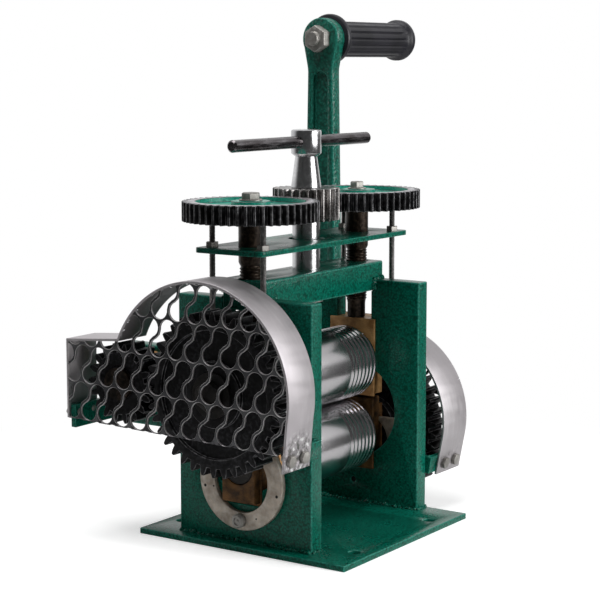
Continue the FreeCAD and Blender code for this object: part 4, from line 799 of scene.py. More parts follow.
@dataclass
class FrameParts:
    """Base, plates, beam, lower blocks and keeper rings."""

    bench: Bench
    plate_in: float = 45.0
    plate_out: float = 54.0
    plate_half: float = 39.5
    base_top: float = 3.0
    beam_bottom: float = 117.0
    beam_half: float = 12.5
    plate_top: float = 122.8
    weld_lift: float = 0.1
    keeper_bolt_z: float = 14.4
    keeper_face: float = 57.0
    bolt_head: tuple[Point2, ...] = ((0.0, 0.0), (0.0, 3.5), (2.6, 3.5), (3.4, 2.7), (3.4, 2.1), (2.7, 1.7),
                                     (2.7, 1.0), (3.1, 0.6), (3.1, 0.0))
    bolt_shank_r: float = 1.5
    # small dark discs on the keeper rings, (y, z, radius): painted shade of small pits
    hole_shade_dots: tuple[Point3, ...] = ((-21.4, 29.0, 0.8), (21.4, 29.0, 0.8), (-9.3, 16.3, 0.45),
                                       (16.2, 29.3, 0.5))
    chance: random.Random = field(default_factory=lambda: random.Random(11))

    def build(self) -> None:
        """Dresses the frame and lays its welds."""
        kit, dress, dress_all = self.bench.kit, self.bench.dress, self.bench.dress_all
        dress("base_plate", Slot.GREEN, kit.enamel, 0.5)
        dress_all(["side_plate_left", "side_plate_right"], Slot.GREEN, kit.enamel, 0.7)
        dress("cross_beam", Slot.GREEN, kit.enamel, 1.0)
        # The lower blocks take the darker bronze that paints their shade and grease
        dress_all(["lower_block_left", "lower_block_right"], Slot.BRONZE, kit.shaded_grimy, 0.4)
        dress_all(["crank_bushes", "lower_thrust_washers"], Slot.BRONZE, kit.bronze, 0.25)
        dress_all(["keeper_ring_left", "keeper_ring_right"], Slot.PLATED, kit.ring, 0.35)
        dress("idler_pin", Slot.OILED, kit.oiled, 0.3)
        self._welds()
        self._keeper_bolts()
        self._hole_shade_dots()

    def _welds(self) -> None:
        """Lays weld runs along the plates' feet and the beam's ends."""
        shape = Shape()
        foot, half = self.base_top + self.weld_lift, self.plate_half

        def run(start: Point3, end: Point3, count: int, radius: Point2, sway: float) -> None:
            """Lays evenly spaced drops.

            Args:
                start: first centre.
                end: last centre.
                count: number of drops.
                radius: smallest and largest radius.
                sway: how far a centre strays.
            """
            first, last = Vector(start), Vector(end)
            shape.drops([first.lerp(last, i / (count - 1)) for i in range(count)], radius, self.chance, sway)

        for side in (-1, 1):
            for x in (side * (self.plate_out + self.weld_lift), side * (self.plate_in - self.weld_lift)):
                run((x, -half + 1, foot), (x, half - 1, foot), 56, (0.7, 1.7), 0.5)
            for y in (-half - self.weld_lift, half + self.weld_lift):
                run((side * (self.plate_in + 0.8), y, foot), (side * (self.plate_out - 0.8), y, foot), 6,
                    (0.7, 1.3), 0.3)
            for y in (-self.beam_half, self.beam_half):
                x = side * (self.plate_in - 0.2)
                run((x, y, self.beam_bottom + 1), (x, y, self.plate_top - 0.5), 7, (1.0, 2.0), 0.5)
                run((x, y, self.plate_top), (side * (self.plate_out - 1), y, self.plate_top), 6,
                    (0.8, 1.6), 0.4)
        self.bench.fit(shape.mesh("weld_runs"), "frame", Slot.GREEN, [self.bench.kit.enamel])

    def _keeper_bolts(self) -> None:
        """Turns the round headed bolts of the keeper rings."""
        bolts = Shape()
        at = (0.0, self.keeper_bolt_z)
        for side in (-1, 1):
            face, end = side * self.keeper_face, side * (self.plate_in + 0.8)
            bolts.turned([(face + side * out, radius) for out, radius in self.bolt_head], Along.X, at, 32)
            bolts.disc(self.bolt_shank_r, Along.X, at, face, end, 20, finish=1)
        kit = self.bench.kit
        self.bench.fit(bolts.mesh("keeper_round_bolts"), "frame", Slot.PLATED, [kit.plated, kit.greasy],
                       replaces=["keeper_bolts"])

    def _hole_shade_dots(self) -> None:
        """Makes small dark discs on the keeper rings, painted as the shade of small pits."""
        shade_dots = Shape()
        for side in (-1, 1):
            low, high = side * self.keeper_face - side * 0.2, side * self.keeper_face + side * 0.03
            for y, z, radius in self.hole_shade_dots:
                shade_dots.disc(radius, Along.X, (y, z), low, high, 16)
        self.bench.fit(shade_dots.mesh("keeper_punch_marks"), "frame", Slot.PLATED, [self.bench.kit.greasy])


@dataclass
class Guard:
    """One sheet guard: bent band, punched outer sheet, lugs, screws and tack welds."""

    bench: Bench
    side: Side
    inner_x: float
    width: float
    centre: Point2
    radius: float
    below: float
    rear: float
    top: float
    bottom: float
    top_drop: float = 0.0
    hem_rise: float = 0.0
    box_front: float | None = None
    shaft_at: Point2 = (56.15, 79.6)
    shaft_gap: float = 10.5
    wall: float = 1.2
    round_r: float = 4.58
    throat: float = 3.6
    neck: float = 2.84
    pitch: Point2 = (10.393, 0.334)
    row: Point2 = (-1.156, 18.496)
    partner: Point2 = (-5.961, 9.323)
    first: Point2 = (8.522, 63.155)
    rows: int = 4
    columns: int = 16
    arc_steps: int = 15
    rim_steps: int = 56
    bend_y: float = -38.0
    tab_end: float = 48.9
    bend: float = 1.9
    lug_end: float = -78.5
    tack_r: Point2 = (0.35, 0.95)
    tack_flat: Point3 = (0.55, 1.0, 1.0)
    tack_depth: float = 0.75
    sliver: float = 0.3
    burr: float = 0.2

    def outline(self, inset: float) -> list[Point2]:
        """Closed outline of the guard.

        Args:
            inset: distance inside its outer face.

        Returns:
            The corners as (y, z).
        """
        radius = self.radius - inset
        if self.box_front is None:
            start = math.asin((self.top - inset - self.centre[1]) / radius)
        else:
            start = math.acos((self.box_front + inset - self.centre[0]) / radius)
        below = math.radians(self.below)
        points = arc_points(self.centre, radius, start, math.pi + below, self.rim_steps)
        end = points[-1]
        drop = (end[1] - self.bottom) / math.cos(below)
        points.append((end[0] + drop * math.sin(below), self.bottom))
        points += [(self.rear - inset, self.bottom + self.hem_rise),
                   (self.rear - inset, self.top - inset - self.top_drop)]
        if self.box_front is not None:
            points.append((self.box_front + inset, self.top - inset))
        return points

    def opening(self, y: float, z: float) -> list[Point2]:
        """Outline of one punched opening.

        Args:
            y: place of its lower round.
            z: height of its lower round.

        Returns:
            The corners as (y, z).
        """
        dy, dz = self.partner
        span = math.hypot(dy, dz)
        tilt = math.atan2(dz, dy)
        open_half = math.pi - math.asin(self.throat / self.round_r)
        flat = arc_points((0.0, 0.0), self.round_r, math.pi - open_half, math.pi + open_half, self.arc_steps)
        flat.append((span / 2, -self.neck))
        flat += arc_points((span, 0.0), self.round_r, -open_half, open_half, self.arc_steps)
        flat.append((span / 2, self.neck))
        return [(y + u * math.cos(tilt) - v * math.sin(tilt),
                 z + u * math.sin(tilt) + v * math.cos(tilt)) for u, v in flat]

    def _meets(self, y: float, z: float) -> bool:
        """Tells whether an opening may cut the sheet.

        Args:
            y: place of its lower round.
            z: height of its lower round.

        Returns:
            False for an opening that lies well off the sheet.
        """
        reach, off_y, off_z = 12.0, 3.0, 5.0     # past the edge, and from the lower round to the middle
        low = self.bottom - 16.0
        near = math.hypot(y - off_y - self.centre[0], z + off_z - self.centre[1]) < self.radius + reach
        boxed = -10.0 < y < self.rear + reach and z < self.top + 8.0
        return (near or boxed) and z > low

    def _sheet(self) -> None:
        """Cuts the outer sheet from punched stock."""
        sign = self.side.value
        outer = sign * (self.inner_x + self.width)
        inner = outer - sign * self.wall
        plain = Shape().pushed(self.outline(self.wall), Along.X, inner, outer)
        punch = Shape()
        for row in range(-self.rows, self.rows + 1):
            for column in range(-self.columns, self.columns + 1):
                y = self.first[0] + column * self.pitch[0] + row * self.row[0]
                z = self.first[1] + column * self.pitch[1] + row * self.row[1]
                if self._meets(y, z):
                    punch.pushed(self.opening(y, z), Along.X, inner - sign, outer + sign)
        if self.side is Side.RIGHT:
            shaft_hole = arc_points(self.shaft_at, self.shaft_gap, 0.0, TURN * 39 / 40, 40)
            punch.pushed(shaft_hole, Along.X, inner - 2 * sign, outer + 2 * sign)
        mesh = self._cut(plain.mesh("plain"), punch.mesh("punch"))
        mesh.name = "punched_sheet_" + self.side.word
        for face in mesh.polygons:
            face.material_index = int(abs(face.normal.x) < 0.5)
        self._mark_rims(mesh)
        kit = self.bench.kit
        piece = self.bench.fit(mesh, "frame", Slot.GUARD, [kit.punched, kit.sheet], self.burr,
                               ["guard_sheet_" + self.side.word], kit.burr)
        piece.modifiers["rounded_edges"].segments = 1
        piece.modifiers["rounded_edges"].limit_method = "WEIGHT"

    def _mark_rims(self, mesh: Mesh) -> None:
        """Gives a bevel weight to the sheet's sharp edges, but not at its thin necks.

        Args:
            mesh: the cut sheet.
        """
        close = 2.2 * self.burr * MM     # room that the bevels of two edges need
        with opened(mesh, mesh) as bm:
            weight = bm.edges.layers.float.new("bevel_weight_edge")
            sharp = [edge for edge in bm.edges
                     if edge.is_manifold and edge.calc_face_angle() > self.bench.BEVEL_ABOVE]
            cells: dict[tuple[int, int, int], set[BMEdge]] = {}
            thin: set[BMVert] = set()

            def cell(place: Vector) -> tuple[int, int, int]:
                """Cell of a point in a grid of 1 mm."""
                return tuple(math.floor(value / MM) for value in place)

            for edge in sharp:
                one, other = (vert.co for vert in edge.verts)
                length = (other - one).length
                if length < close:
                    thin.update(edge.verts)
                steps = max(1, math.ceil(length / (0.5 * MM)))
                for step in range(steps + 1):
                    cells.setdefault(cell(one.lerp(other, step / steps)), set()).add(edge)
            for vert in {vert for edge in sharp for vert in edge.verts}:
                own = {other for edge in vert.link_edges for other in edge.verts}
                x, y, z = cell(vert.co)
                near = {edge for i in (-1, 0, 1) for j in (-1, 0, 1) for k in (-1, 0, 1)
                        for edge in cells.get((x + i, y + j, z + k), ())}
                for edge in near:
                    one, other = (end.co for end in edge.verts)
                    share = (vert.co - one).dot(other - one) / max((other - one).length_squared, 1e-15)
                    gap = (one.lerp(other, min(1.0, max(0.0, share))) - vert.co).length
                    if gap < close and own.isdisjoint(edge.verts):
                        thin.update((vert, *edge.verts))
            for edge in sharp:
                edge[weight] = float(thin.isdisjoint(edge.verts))

    def _cut(self, plain: Mesh, punch: Mesh) -> Mesh:
        """Cuts one mesh out of another and keeps the largest part.

        Args:
            plain: solid sheet.
            punch: all cutters.

        Returns:
            The cut mesh.
        """
        stock, tool = put("stock", plain), put("tool", punch)
        cut = stock.modifiers.new("cut", "BOOLEAN")
        cut.operation = "DIFFERENCE"
        cut.solver = "EXACT"
        cut.use_self = True
        cut.object = tool
        bpy.context.view_layer.update()
        ready = stock.evaluated_get(bpy.context.evaluated_depsgraph_get())
        mesh = bpy.data.meshes.new_from_object(ready)
        for item in (stock, tool):
            bpy.data.objects.remove(item)
        with opened(mesh, mesh) as bm:
            self._keep_largest(bm)
            bmesh.ops.remove_doubles(bm, verts=bm.verts, dist=self.sliver * MM)
            join_flats(bm)
        return mesh

    @staticmethod
    def _keep_largest(bm: BMesh) -> None:
        """Deletes all but the part with the most vertices.

        Args:
            bm: the open mesh.
        """
        left = set(bm.verts)
        parts: list[set[BMVert]] = []
        while left:
            grown = {left.pop()}
            fresh = list(grown)
            while fresh:
                vert = fresh.pop()
                for edge in vert.link_edges:
                    other = edge.other_vert(vert)
                    if other in left:
                        left.discard(other)
                        grown.add(other)
                        fresh.append(other)
            parts.append(grown)
        parts.sort(key=len)
        spare = [vert for part in parts[:-1] for vert in part]
        bmesh.ops.delete(bm, geom=spare, context="VERTS")

    def _tacks(self) -> None:
        """Lays uneven tack welds along the seam of band and sheet."""
        chance = random.Random(5 + self.side.value)
        face = self.side.value * (self.inner_x + self.width - self.tack_depth)
        seam = self.outline(self.wall * 0.9)[:self.rim_steps + 1]
        path = []
        for (y0, z0), (y1, z1) in zip(seam, seam[1:]):
            for _ in range(chance.choice((0, 0, 1, 2, 3))):
                share = chance.random()
                path.append(Vector((face, y0 + (y1 - y0) * share, z0 + (z1 - z0) * share)))
        shape = Shape().drops(path, self.tack_r, chance, self.tack_r[0], self.tack_flat)
        self.bench.fit(shape.mesh("tack_welds_" + self.side.word), "frame", Slot.GUARD,
                       [self.bench.kit.chrome])

    def _bent(self, place: Vector) -> Vector:
        """Bends the left guard's tab a little to the front, with what is screwed to it.

        Args:
            place: point in millimetres.

        Returns:
            The point after the bending.
        """
        if self.side is Side.RIGHT or place.y > self.bend_y:
            return place
        top = self.centre[1] - self.radius * math.sin(math.radians(self.below))
        down = max(0.0, top - place.z) / (top - self.tab_end)
        return Vector((place.x, place.y - self.bend * down, place.z))

    def _shortened(self, place: Vector) -> Vector:
        """Bends a lug with the tab and ends the left guard's front one behind it."""
        bent = self._bent(place)
        return bent if bent == place else Vector((max(place.x, self.lug_end), bent.y, place.z))

    def build(self) -> None:
        """Dresses the guard."""
        kit, dress, word = self.bench.kit, self.bench.dress, self.side.word
        band = kit.foot if self.side is Side.LEFT else kit.sheet
        dress("guard_band_" + word, Slot.GUARD, band, 0.2, change=self._bent)
        dress("guard_lugs_" + word, Slot.GREEN, kit.enamel, 0.35, change=self._shortened)
        dress("guard_screws_" + word, Slot.PLATED, kit.plated, 0.3, change=self._bent)
        self._sheet()
        self._tacks()


# ---- rolls and drive -----------------------------------------------------------------------------


@dataclass
class Rolls:
    """Both rolls, their gears, bolts and washers."""

    bench: Bench
    upper: Point2 = (0.0, 79.6)
    lower: Point2 = (0.0, 41.0)
    upper_ends: Point2 = (-79.0, 57.1)
    lower_ends: Point2 = (-59.0, 78.0)
    radius: float = 19.0
    half: float = 38.0
    shoulder_r: float = 13.0
    shoulder: float = 41.4
    journal_r: float = 8.5
    soft: float = 0.6
    small: float = 0.3
    rim_mid: float = 0.2
    grooves: int = 7
    groove_pitch: float = 3.5
    groove_first: float = 14.5
    groove_depth: float = 1.5
    groove_step: float = 0.14
    groove_lip: float = 0.12
    groove_flat: float = 0.1
    washer_r: float = 11.0
    washer: float = 1.5
    bolt_flats: float = 13.0
    bolt_height: float = 3.6

    def profile(self, left_end: float, right_end: float) -> list[Point2]:
        """Roll from end to end.

        Args:
            left_end: end of the left journal.
            right_end: end of the right journal.

        Returns:
            (x, radius) points.
        """
        soft, small, mid, radius = self.soft, self.small, self.rim_mid, self.radius
        flat, lip = self.groove_flat, self.groove_lip
        points = [(left_end, 0.0), (left_end, self.journal_r - soft), (left_end + soft, self.journal_r),
                  (-self.shoulder, self.journal_r), (-self.shoulder, self.shoulder_r - small),
                  (-self.shoulder + small, self.shoulder_r), (-self.half, self.shoulder_r),
                  (-self.half, radius - soft), (-self.half + mid, radius - mid), (-self.half + soft, radius)]
        for i in range(self.grooves):
            x = self.groove_first + i * self.groove_pitch
            depth = self.groove_depth - i * self.groove_step
            half = depth * 0.8
            points += [(x - half - lip, radius), (x - half, radius - flat), (x - flat, radius - depth),
                       (x + flat, radius - depth), (x + half, radius - flat), (x + half + lip, radius)]
        points += [(self.half - soft, radius), (self.half - mid, radius - mid), (self.half, radius - soft),
                   (self.half, self.shoulder_r), (self.shoulder - small, self.shoulder_r),
                   (self.shoulder, self.shoulder_r - small), (self.shoulder, self.journal_r),
                   (right_end - soft, self.journal_r), (right_end, self.journal_r - soft), (right_end, 0.0)]
        return points

    def build(self) -> None:
        """Turns the rolls and dresses what they carry."""
        kit, dress = self.bench.kit, self.bench.dress
        for word, at, ends, seat in (("upper", self.upper, self.upper_ends, self.upper_ends[0]),
                                     ("lower", self.lower, self.lower_ends, self.lower_ends[1])):
            mesh = Shape().turned(self.profile(*ends), Along.X, at, 128).mesh(word + "_roll_turned")
            for face in mesh.polygons:
                face.material_index = int(abs(face.center.x) > self.shoulder * MM)
            self.bench.fit(mesh, word + "_roll", Slot.ROLL, [kit.roll, kit.greasy], replaces=[word + "_roll"])
            dress(word + "_roll_gear", Slot.IRON, kit.iron, 0.3)
            self._bolt(word, at, seat)
        dress("upper_thrust_washers", Slot.BRONZE, kit.bronze, 0.25)

    def _bolt(self, word: str, at: Point2, seat: float) -> None:
        """Makes the washer and bolt on a gear's outer face.

        Args:
            word: which roll.
            at: the roll's axis.
            seat: X of the washer's inner face.
        """
        sign = math.copysign(1.0, seat)
        outer = seat + sign * self.washer
        shape = Shape().disc(self.washer_r, Along.X, at, seat, outer, 48)
        shape.hexagon(self.bolt_flats, Along.X, at, outer, outer + sign * self.bolt_height, 0.6)
        self.bench.fit(shape.mesh(word + "_gear_hex_bolt"), word + "_roll", Slot.PLATED,
                       [self.bench.kit.greasy], 0.2, [word + "_gear_bolt"])


@dataclass
class Crank:
    """Shaft, pinions, arm, nuts and the turning grip."""

    bench: Bench
    axis: Point2 = (56.15, 79.6)
    eye: Point2 = (56.15, 248.2)
    arm_x: float = 97.0
    arm_thick: float = 8.0
    nut: Point2 = (17.0, 6.0)                # width across flats, height
    handle_nut: Point2 = (13.0, 5.6)
    bolt_r: float = 4.0
    bolt_root: float = 3.55
    bolt_pitch: float = 1.25
    bolt_head_r: float = 6.5
    bolt_end: float = 88.6
    thread_end: float = 98.0
    grip_start: float = 105.3
    grip_length: float = 77.5
    grip_r: float = 10.1
    recess: float = 5.9
    inner_flange: float = 14.0
    outer_flange: float = 12.0
    flutes: int = 16
    flute_depth: float = 0.75
    flute_fade: float = 4.0

    def build(self) -> None:
        """Dresses the crank."""
        kit, bench = self.bench.kit, self.bench
        bench.dress("crank_shaft", Slot.OILED, kit.oiled, 0.0)
        bench.dress_all(["crank_pinion_left", "crank_pinion_right", "idler_gear"], Slot.IRON, kit.iron, 0.3)
        # The arm's lighter enamel paints the light on it
        bench.dress("crank_arm", Slot.GREEN, kit.cast, 0.9)
        self._nuts()
        self._grip()

    def _nuts(self) -> None:
        """Makes the nuts on the shaft and on the handle bolt, and the bolt itself."""
        fit, plated = self.bench.fit, self.bench.kit.plated
        seat = self.arm_x + self.arm_thick
        shape = Shape().hexagon(self.nut[0], Along.X, self.axis, seat, seat + self.nut[1], 0.8)
        fit(shape.mesh("crank_hex_nut"), "crank", Slot.PLATED, [plated], 0.25, ["crank_nut"])
        flats, height = self.handle_nut
        shape = Shape().hexagon(flats, Along.X, self.eye, self.arm_x, self.arm_x - height, 0.6)
        fit(shape.mesh("handle_hex_nut"), "crank", Slot.PLATED, [plated], 0.2, ["handle_nut"])
        seat = self.grip_start + self.grip_length - self.recess
        shape = Shape().threaded(self.bolt_root, self.bolt_r, self.bolt_pitch, Along.X, self.eye,
                                 self.bolt_end, self.thread_end)
        inner = self.thread_end - 0.5
        shape.turned([(inner, 0.0), (inner, self.bolt_r), (seat, self.bolt_r), (seat, self.bolt_head_r),
                      (seat + 3.4, self.bolt_head_r), (seat + 4.0, self.bolt_head_r - 0.6),
                      (seat + 4.0, 0.0)], Along.X, self.eye, 40)
        fit(shape.mesh("handle_bolt_turned"), "crank", Slot.PLATED, [plated], replaces=["handle_bolt"])

    def _grip(self) -> None:
        """Turns the plastic grip and presses its flutes."""
        start, end, bore = self.grip_start, self.grip_start + self.grip_length, self.bolt_r + 0.05
        inner, outer, body = start + 4.0, end - 4.0, self.grip_r
        near, far = self.inner_flange, self.outer_flange
        rows = 24
        profile = [(start, bore), (start, near - 1.2), (start + 0.4, near - 0.4), (start + 1.2, near),
                   (inner - 1.2, near), (inner - 0.4, near - 0.4), (inner, near - 1.4),
                   (inner, body + 0.4), (inner + 0.5, body)]
        profile += [(inner + 1.0 + (outer - 3.0 - inner) * i / rows, body) for i in range(rows + 1)]
        profile += [(outer - 1.0, body + 0.5), (outer, far - 0.2), (outer + 0.6, far), (end - 1.0, far),
                    (end - 0.3, far - 0.3), (end, far - 1.0), (end, 7.9), (end - 0.4, 7.5),
                    (end - self.recess, 7.5), (end - self.recess, bore)]
        shape = Shape().turned(profile, Along.X, self.eye, 128, closed=True)
        first, last = inner + 0.9, outer - 1.9

        def flute(place: Vector) -> Vector:
            """Presses the flutes into the body.

            Args:
                place: point in millimetres.

            Returns:
                The point, nearer to the axis where a flute runs.
            """
            y, z = place.y - self.eye[0], place.z - self.eye[1]
            out = math.hypot(y, z)
            if not first < place.x < last or out < body - 0.5:
                return place
            wave = math.cos(math.atan2(z, y) * self.flutes)
            fade = min(1.0, (place.x - first) / self.flute_fade, (last - place.x) / self.flute_fade)
            cut = self.flute_depth * max(0.0, wave) ** 1.5 * max(0.0, fade)
            return Vector((place.x, self.eye[0] + y * (out - cut) / out, self.eye[1] + z * (out - cut) / out))

        shape.moved(flute)
        self.bench.fit(shape.mesh("fluted_grip"), "grip", Slot.GRIP, [self.bench.kit.plastic],
                       replaces=["grip"])


# ---- roll adjustment -------------------------------------------------------------------------------


@dataclass
class Adjustment:
    """Screws with their gears, the centre spindle, the lifting plate and its studs."""

    bench: Bench
    reach: float = 47.6
    stud_x: float = 58.5
    stud_y: float = 15.0
    stud_bottom: float = 94.0
    stud_top: float = 159.5
    stud_nut: Point2 = (5.5, 2.4)            # width across flats, height
    plate_top: float = 147.5
    near_bolt: float = 8.2
    far_bolt: float = 6.6
    bolt_height: float = 3.2
    washer: float = 0.8
    washer_rim: float = 1.5
    gear_bottom: float = 160.0
    gear_top: float = 169.5
    web_depth: float = 2.4
    web_r: float = 26.7
    screw_tip: tuple[Point2, ...] = ((102.0, 0.0), (102.0, 4.3), (102.4, 4.7), (109.5, 4.7), (111.0, 4.9),
                                     (111.0, 0.0))
    thread_bottom: float = 110.8
    thread_top: float = 138.7
    thread_root: float = 4.9
    thread_crest: float = 5.5
    ridge_pitch: float = 1.5
    shank_r: float = 6.0
    collar: tuple[Point2, ...] = ((138.5, 0.0), (138.5, 5.3), (140.0, 6.0))
    spigot_r: float = 4.0
    stud_root: float = 1.25
    stud_crest: float = 1.5
    stud_pitch: float = 0.7
    spindle: tuple[Point2, ...] = (
        (114.0, 0.0), (114.0, 5.0), (132.0, 5.0), (132.0, 7.0), (157.0, 7.0), (157.0, 5.0), (173.0, 5.0),
        (173.0, 7.3), (173.3, 7.6), (188.6, 5.5), (190.0, 7.4), (190.4, 7.6), (201.0, 7.6), (201.7, 7.3),
        (202.0, 6.6), (202.0, 0.0))
    tee_z: float = 196.0
    tee_bar: tuple[Point2, ...] = ((-63.0, 0.0), (-63.0, 2.2), (-62.2, 3.0), (56.2, 3.0), (57.0, 2.2),
                                   (57.0, 0.0))

    def build(self) -> None:
        """Dresses both screws, the spindle and the lifting gear."""
        kit, dress = self.bench.kit, self.bench.dress
        dress("lift_plate", Slot.GREEN, kit.enamel, 0.3)
        for side, flats in ((Side.LEFT, self.near_bolt), (Side.RIGHT, self.far_bolt)):
            dress("upper_block_" + side.word, Slot.BRONZE, kit.bronze, 0.4)
            dress("lift_ring_" + side.word, Slot.PLATED, kit.plated, 0.15)
            self._gear(side)
            self._screw(side)
            self._screw_bolt(side, flats)
        self._studs()
        self._spindle()

    def _gear(self, side: Side) -> None:
        """Dresses a black gear with a scraped rim and a green web in lighter enamel that paints the top
        light.

        Args:
            side: which screw.
        """
        kit = self.bench.kit
        centre = side.value * self.reach

        def pick(corners: list[Vector]) -> int:
            """Lighter green as painted light on the hub and inside the recess, bare on top of the rim, black
            elsewhere.

            Args:
                corners: a face's corners.

            Returns:
                The material index.
            """
            low = min(corner.z for corner in corners)
            out = max(math.hypot(corner.x - centre, corner.y) for corner in corners)
            if low > self.gear_top - self.web_depth - 0.1 and out < self.web_r + 0.3:
                return 1
            return 2 if low > self.gear_top - 0.1 else 0

        self.bench.dress("screw_gear_" + side.word, Slot.IRON, kit.iron, 0.25,
                         [kit.lit_web_enamel, kit.rim], pick)

    def _screw(self, side: Side) -> None:
        """Makes a threaded screw.

        Args:
            side: which screw.
        """
        at = (side.value * self.reach, 0.0)
        body, shank, spigot = "screw_" + side.word, self.shank_r, self.spigot_r
        shape = Shape().turned(self.screw_tip, Along.Z, at, 40)
        shape.threaded(self.thread_root, self.thread_crest, self.ridge_pitch, Along.Z, at,
                       self.thread_bottom, self.thread_top)
        shape.turned([*self.collar, (self.gear_bottom, shank), (self.gear_bottom, spigot),
                      (self.gear_top, spigot), (self.gear_top, 0.0)], Along.Z, at, 48)
        self.bench.fit(shape.mesh(body + "_threaded"), body, Slot.OILED, [self.bench.kit.oiled],
                       replaces=[body])

    def _screw_bolt(self, side: Side, flats: float) -> None:
        """Makes the bolt and washer on top of a screw's gear.

        Args:
            side: which screw.
            flats: width across the bolt's flats.
        """
        at = (side.value * self.reach, 0.0)
        seat = self.gear_top + self.washer
        shape = Shape().disc(flats * 0.5 + self.washer_rim, Along.Z, at, self.gear_top, seat, 40)
        shape.hexagon(flats, Along.Z, at, seat, seat + self.bolt_height, 0.5)
        self.bench.fit(shape.mesh("screw_hex_bolt_" + side.word), "screw_" + side.word, Slot.PLATED,
                       [self.bench.kit.plated], 0.2, ["screw_bolt_" + side.word])

    def _studs(self) -> None:
        """Makes the threaded studs and their nuts."""
        rods, nuts = Shape(), Shape()
        flats, height = self.stud_nut
        for x in (-self.stud_x, self.stud_x):
            for y in (-self.stud_y, self.stud_y):
                rods.threaded(self.stud_root, self.stud_crest, self.stud_pitch, Along.Z, (x, y),
                              self.stud_bottom, self.stud_top, 12)
                nuts.hexagon(flats, Along.Z, (x, y), self.plate_top, self.plate_top + height, 0.25)
        fit, kit = self.bench.fit, self.bench.kit
        fit(rods.mesh("lift_studs_threaded"), "upper_carriage", Slot.PLATED, [kit.steel],
            replaces=["lift_studs"])
        fit(nuts.mesh("lift_hex_nuts"), "upper_carriage", Slot.PLATED, [kit.plated], replaces=["lift_nuts"])

    def _spindle(self) -> None:
        """Turns the spindle and the tee bar, and dresses pinion and clip."""
        fit, kit = self.bench.fit, self.bench.kit
        shape = Shape().turned(self.spindle, Along.Z, (0.0, 0.0), 64)
        fit(shape.mesh("spindle_turned"), "spindle", Slot.CHROME, [kit.chrome], replaces=["spindle"])
        shape = Shape().turned(self.tee_bar, Along.X, (0.0, self.tee_z), 40)
        fit(shape.mesh("tee_bar_turned"), "spindle", Slot.CHROME, [kit.tee], replaces=["tee_bar"])
        self.bench.dress("spindle_pinion", Slot.PINION, kit.pinion, 0.2)
        self.bench.dress("spindle_clip", Slot.PLATED, kit.plated, 0.15)


# ---- studio ----------------------------------------------------------------------------------------


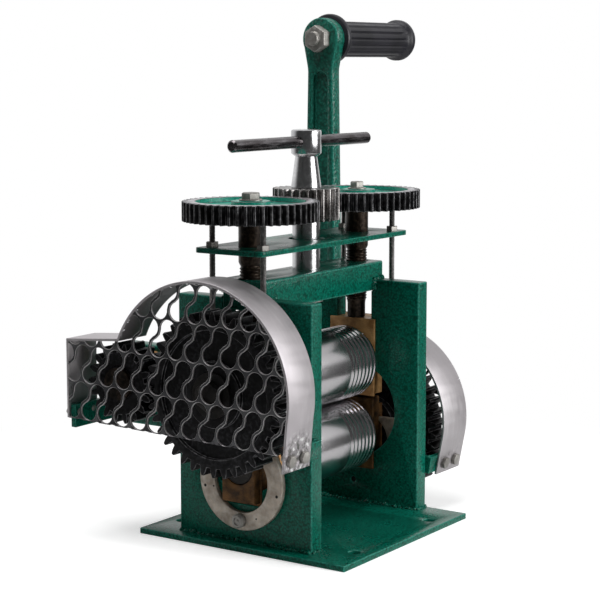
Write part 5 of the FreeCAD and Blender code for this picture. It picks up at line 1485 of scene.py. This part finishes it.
@dataclass
class Studio:
    """Camera, soft lamps, pale floor and white background."""

    eye: Point3 = (-0.723775, -0.486823, 0.235222)
    look: Point3 = (0.8202, 0.5559, -0.1353)
    lens: float = 104.465
    sensor: float = 36.0
    fill: float = 0.16
    dim: float = 0.07
    floor_lift: float = 0.5
    floor_radius: float = 0.32
    floor_fade: Point2 = (0.12, 0.30)
    floor_tint: tuple[float, float, float, float] = (0.86, 0.86, 0.86, 1.0)
    backdrop: Point3 = (0.55, 0.80, 0.25)
    backdrop_band: Point2 = (0.10, 0.75)
    soft_box: Point3 = (0.70, -0.54, 0.58)
    soft_box_band: Point2 = (0.885, 0.965)
    soft_box_light: float = 0.85

    def build(self) -> None:
        """Sets the whole stage."""
        self._camera()
        self._floor()
        self._world()
        self._lamp("key", (0.30, -1.15, 0.40), (0.0, 0.0, 0.1), 14.0, 0.8)
        self._lamp("high", (-0.25, 0.10, 1.25), (0.0, 0.0, 0.15), 10.5, 0.7)
        bpy.context.scene.view_settings.view_transform = "Standard"

    def _camera(self) -> None:
        """Puts the camera at its measured place."""
        data = bpy.data.cameras.new("camera")
        data.lens = self.lens
        data.sensor_width = self.sensor
        data.clip_start = 0.01
        camera = put("camera", data)
        camera.location = self.eye
        camera.rotation_euler = Vector(self.look).to_track_quat("-Z", "Y").to_euler()
        bpy.context.scene.camera = camera

    def _lamp(self, name: str, place: Point3, target: Point3, power: float, size: float) -> None:
        """Adds a square soft lamp.

        Args:
            name: name of the lamp.
            place: where it stands.
            target: where it points.
            power: watts.
            size: length of its side in metres.
        """
        data = bpy.data.lights.new(name, "AREA")
        data.energy = power
        data.size = size
        lamp = put(name, data)
        lamp.location = place
        lamp.rotation_euler = (Vector(target) - Vector(place)).to_track_quat("-Z", "Y").to_euler()

    def _floor(self) -> None:
        """Lays a pale floor that keeps the shadow and fades into the background."""
        mesh = bpy.data.meshes.new("floor")
        with opened(mesh, mesh) as bm:
            bmesh.ops.create_circle(bm, cap_ends=True, segments=96, radius=self.floor_radius)
        floor = put("floor", mesh)
        mesh.materials.append(self._floor_paint())

    def _floor_paint(self) -> Material:
        """Matt white near the mill, plain white for the camera further out.

        Returns:
            The material.
        """
        paint = Paint("pale_floor")
        camera_ray = paint.add("LightPath", "Is Camera Ray", {})
        paint.feed(paint.surface, {
            "Base Color": self.floor_tint, "Roughness": 0.9, "Specular IOR Level": 0.1,
            "Emission Color": WHITE, "Emission Strength": paint.spread(camera_ray, 0.0, self.floor_lift)})
        distance = paint.add("VectorMath", "Value", {0: paint.place}, operation="LENGTH")
        far = paint.product(paint.ramp(distance, *self.floor_fade), camera_ray)
        glow = paint.add("Emission", "Emission", {})
        mix = paint.add("MixShader", "Shader", {"Fac": far, 1: paint.surface.outputs["BSDF"], 2: glow})
        paint.feed(paint.nodes["Material Output"], {"Surface": mix})
        return paint.material

    def _world(self) -> None:
        """Sets white for the camera, a backdrop and a soft box for gloss, a soft light for the rest."""
        world = bpy.data.worlds.new("studio")
        bpy.context.scene.world = world
        sky = Palette(world)
        camera_ray = sky.add("LightPath", "Is Camera Ray", {})
        way = sky.add("TexCoord", "Generated", {})

        def facing(target: Point3, band: Point2, dim: float, bright: float) -> NodeSocket:
            """Brightness that grows towards a direction.

            Args:
                target: the direction.
                band: nearness where the growth starts and where it ends.
                dim: brightness away from it.
                bright: brightness at it.

            Returns:
                The brightness socket.
            """
            near = sky.add("VectorMath", "Value", {0: way, 1: Vector(target).normalized()},
                           operation="DOT_PRODUCT")
            feeds = {"Value": near, "From Min": band[0], "From Max": band[1], "To Min": dim, "To Max": bright}
            return sky.add("MapRange", "Result", feeds, interpolation_type="SMOOTHSTEP")

        bright = sky.larger(facing(self.backdrop, self.backdrop_band, self.dim, 1.0),
                            facing(self.soft_box, self.soft_box_band, 0.0, self.soft_box_light))
        seen = sky.add("Background", "Background",
                       {"Color": WHITE, "Strength": sky.larger(camera_ray, bright)})
        total = camera_ray
        for ray in ("Is Glossy Ray", "Is Transmission Ray"):
            total = sky.larger(total, camera_ray.node.outputs[ray])
        soft = sky.nodes["Background"]
        sky.feed(soft, {"Color": WHITE, "Strength": self.fill})
        mix = sky.add("MixShader", "Shader", {"Fac": total, 1: soft.outputs["Background"], 2: seen})
        sky.feed(sky.nodes["World Output"], {"Surface": mix})


def main() -> None:
    """Builds every sub-assembly in order."""
    logging.basicConfig(level=logging.INFO, format="%(name)s: %(message)s")
    Studio().build()
    bench = Bench(Finishes())
    FrameParts(bench).build()
    Guard(bench, Side.LEFT, inner_x=64.7, width=21.5, centre=(4.0, 81.7), radius=52.6, below=10.0,
          rear=84.8, top=103.0, bottom=57.0, top_drop=2.7, hem_rise=3.6).build()
    Guard(bench, Side.RIGHT, inner_x=60.6, width=24.4, centre=(0.0, 47.0), radius=46.6, below=11.0,
          rear=83.0, top=102.0, bottom=23.0, box_front=33.0).build()
    Rolls(bench).build()
    Crank(bench).build()
    Adjustment(bench).build()


if __name__ == "__main__":
    main()
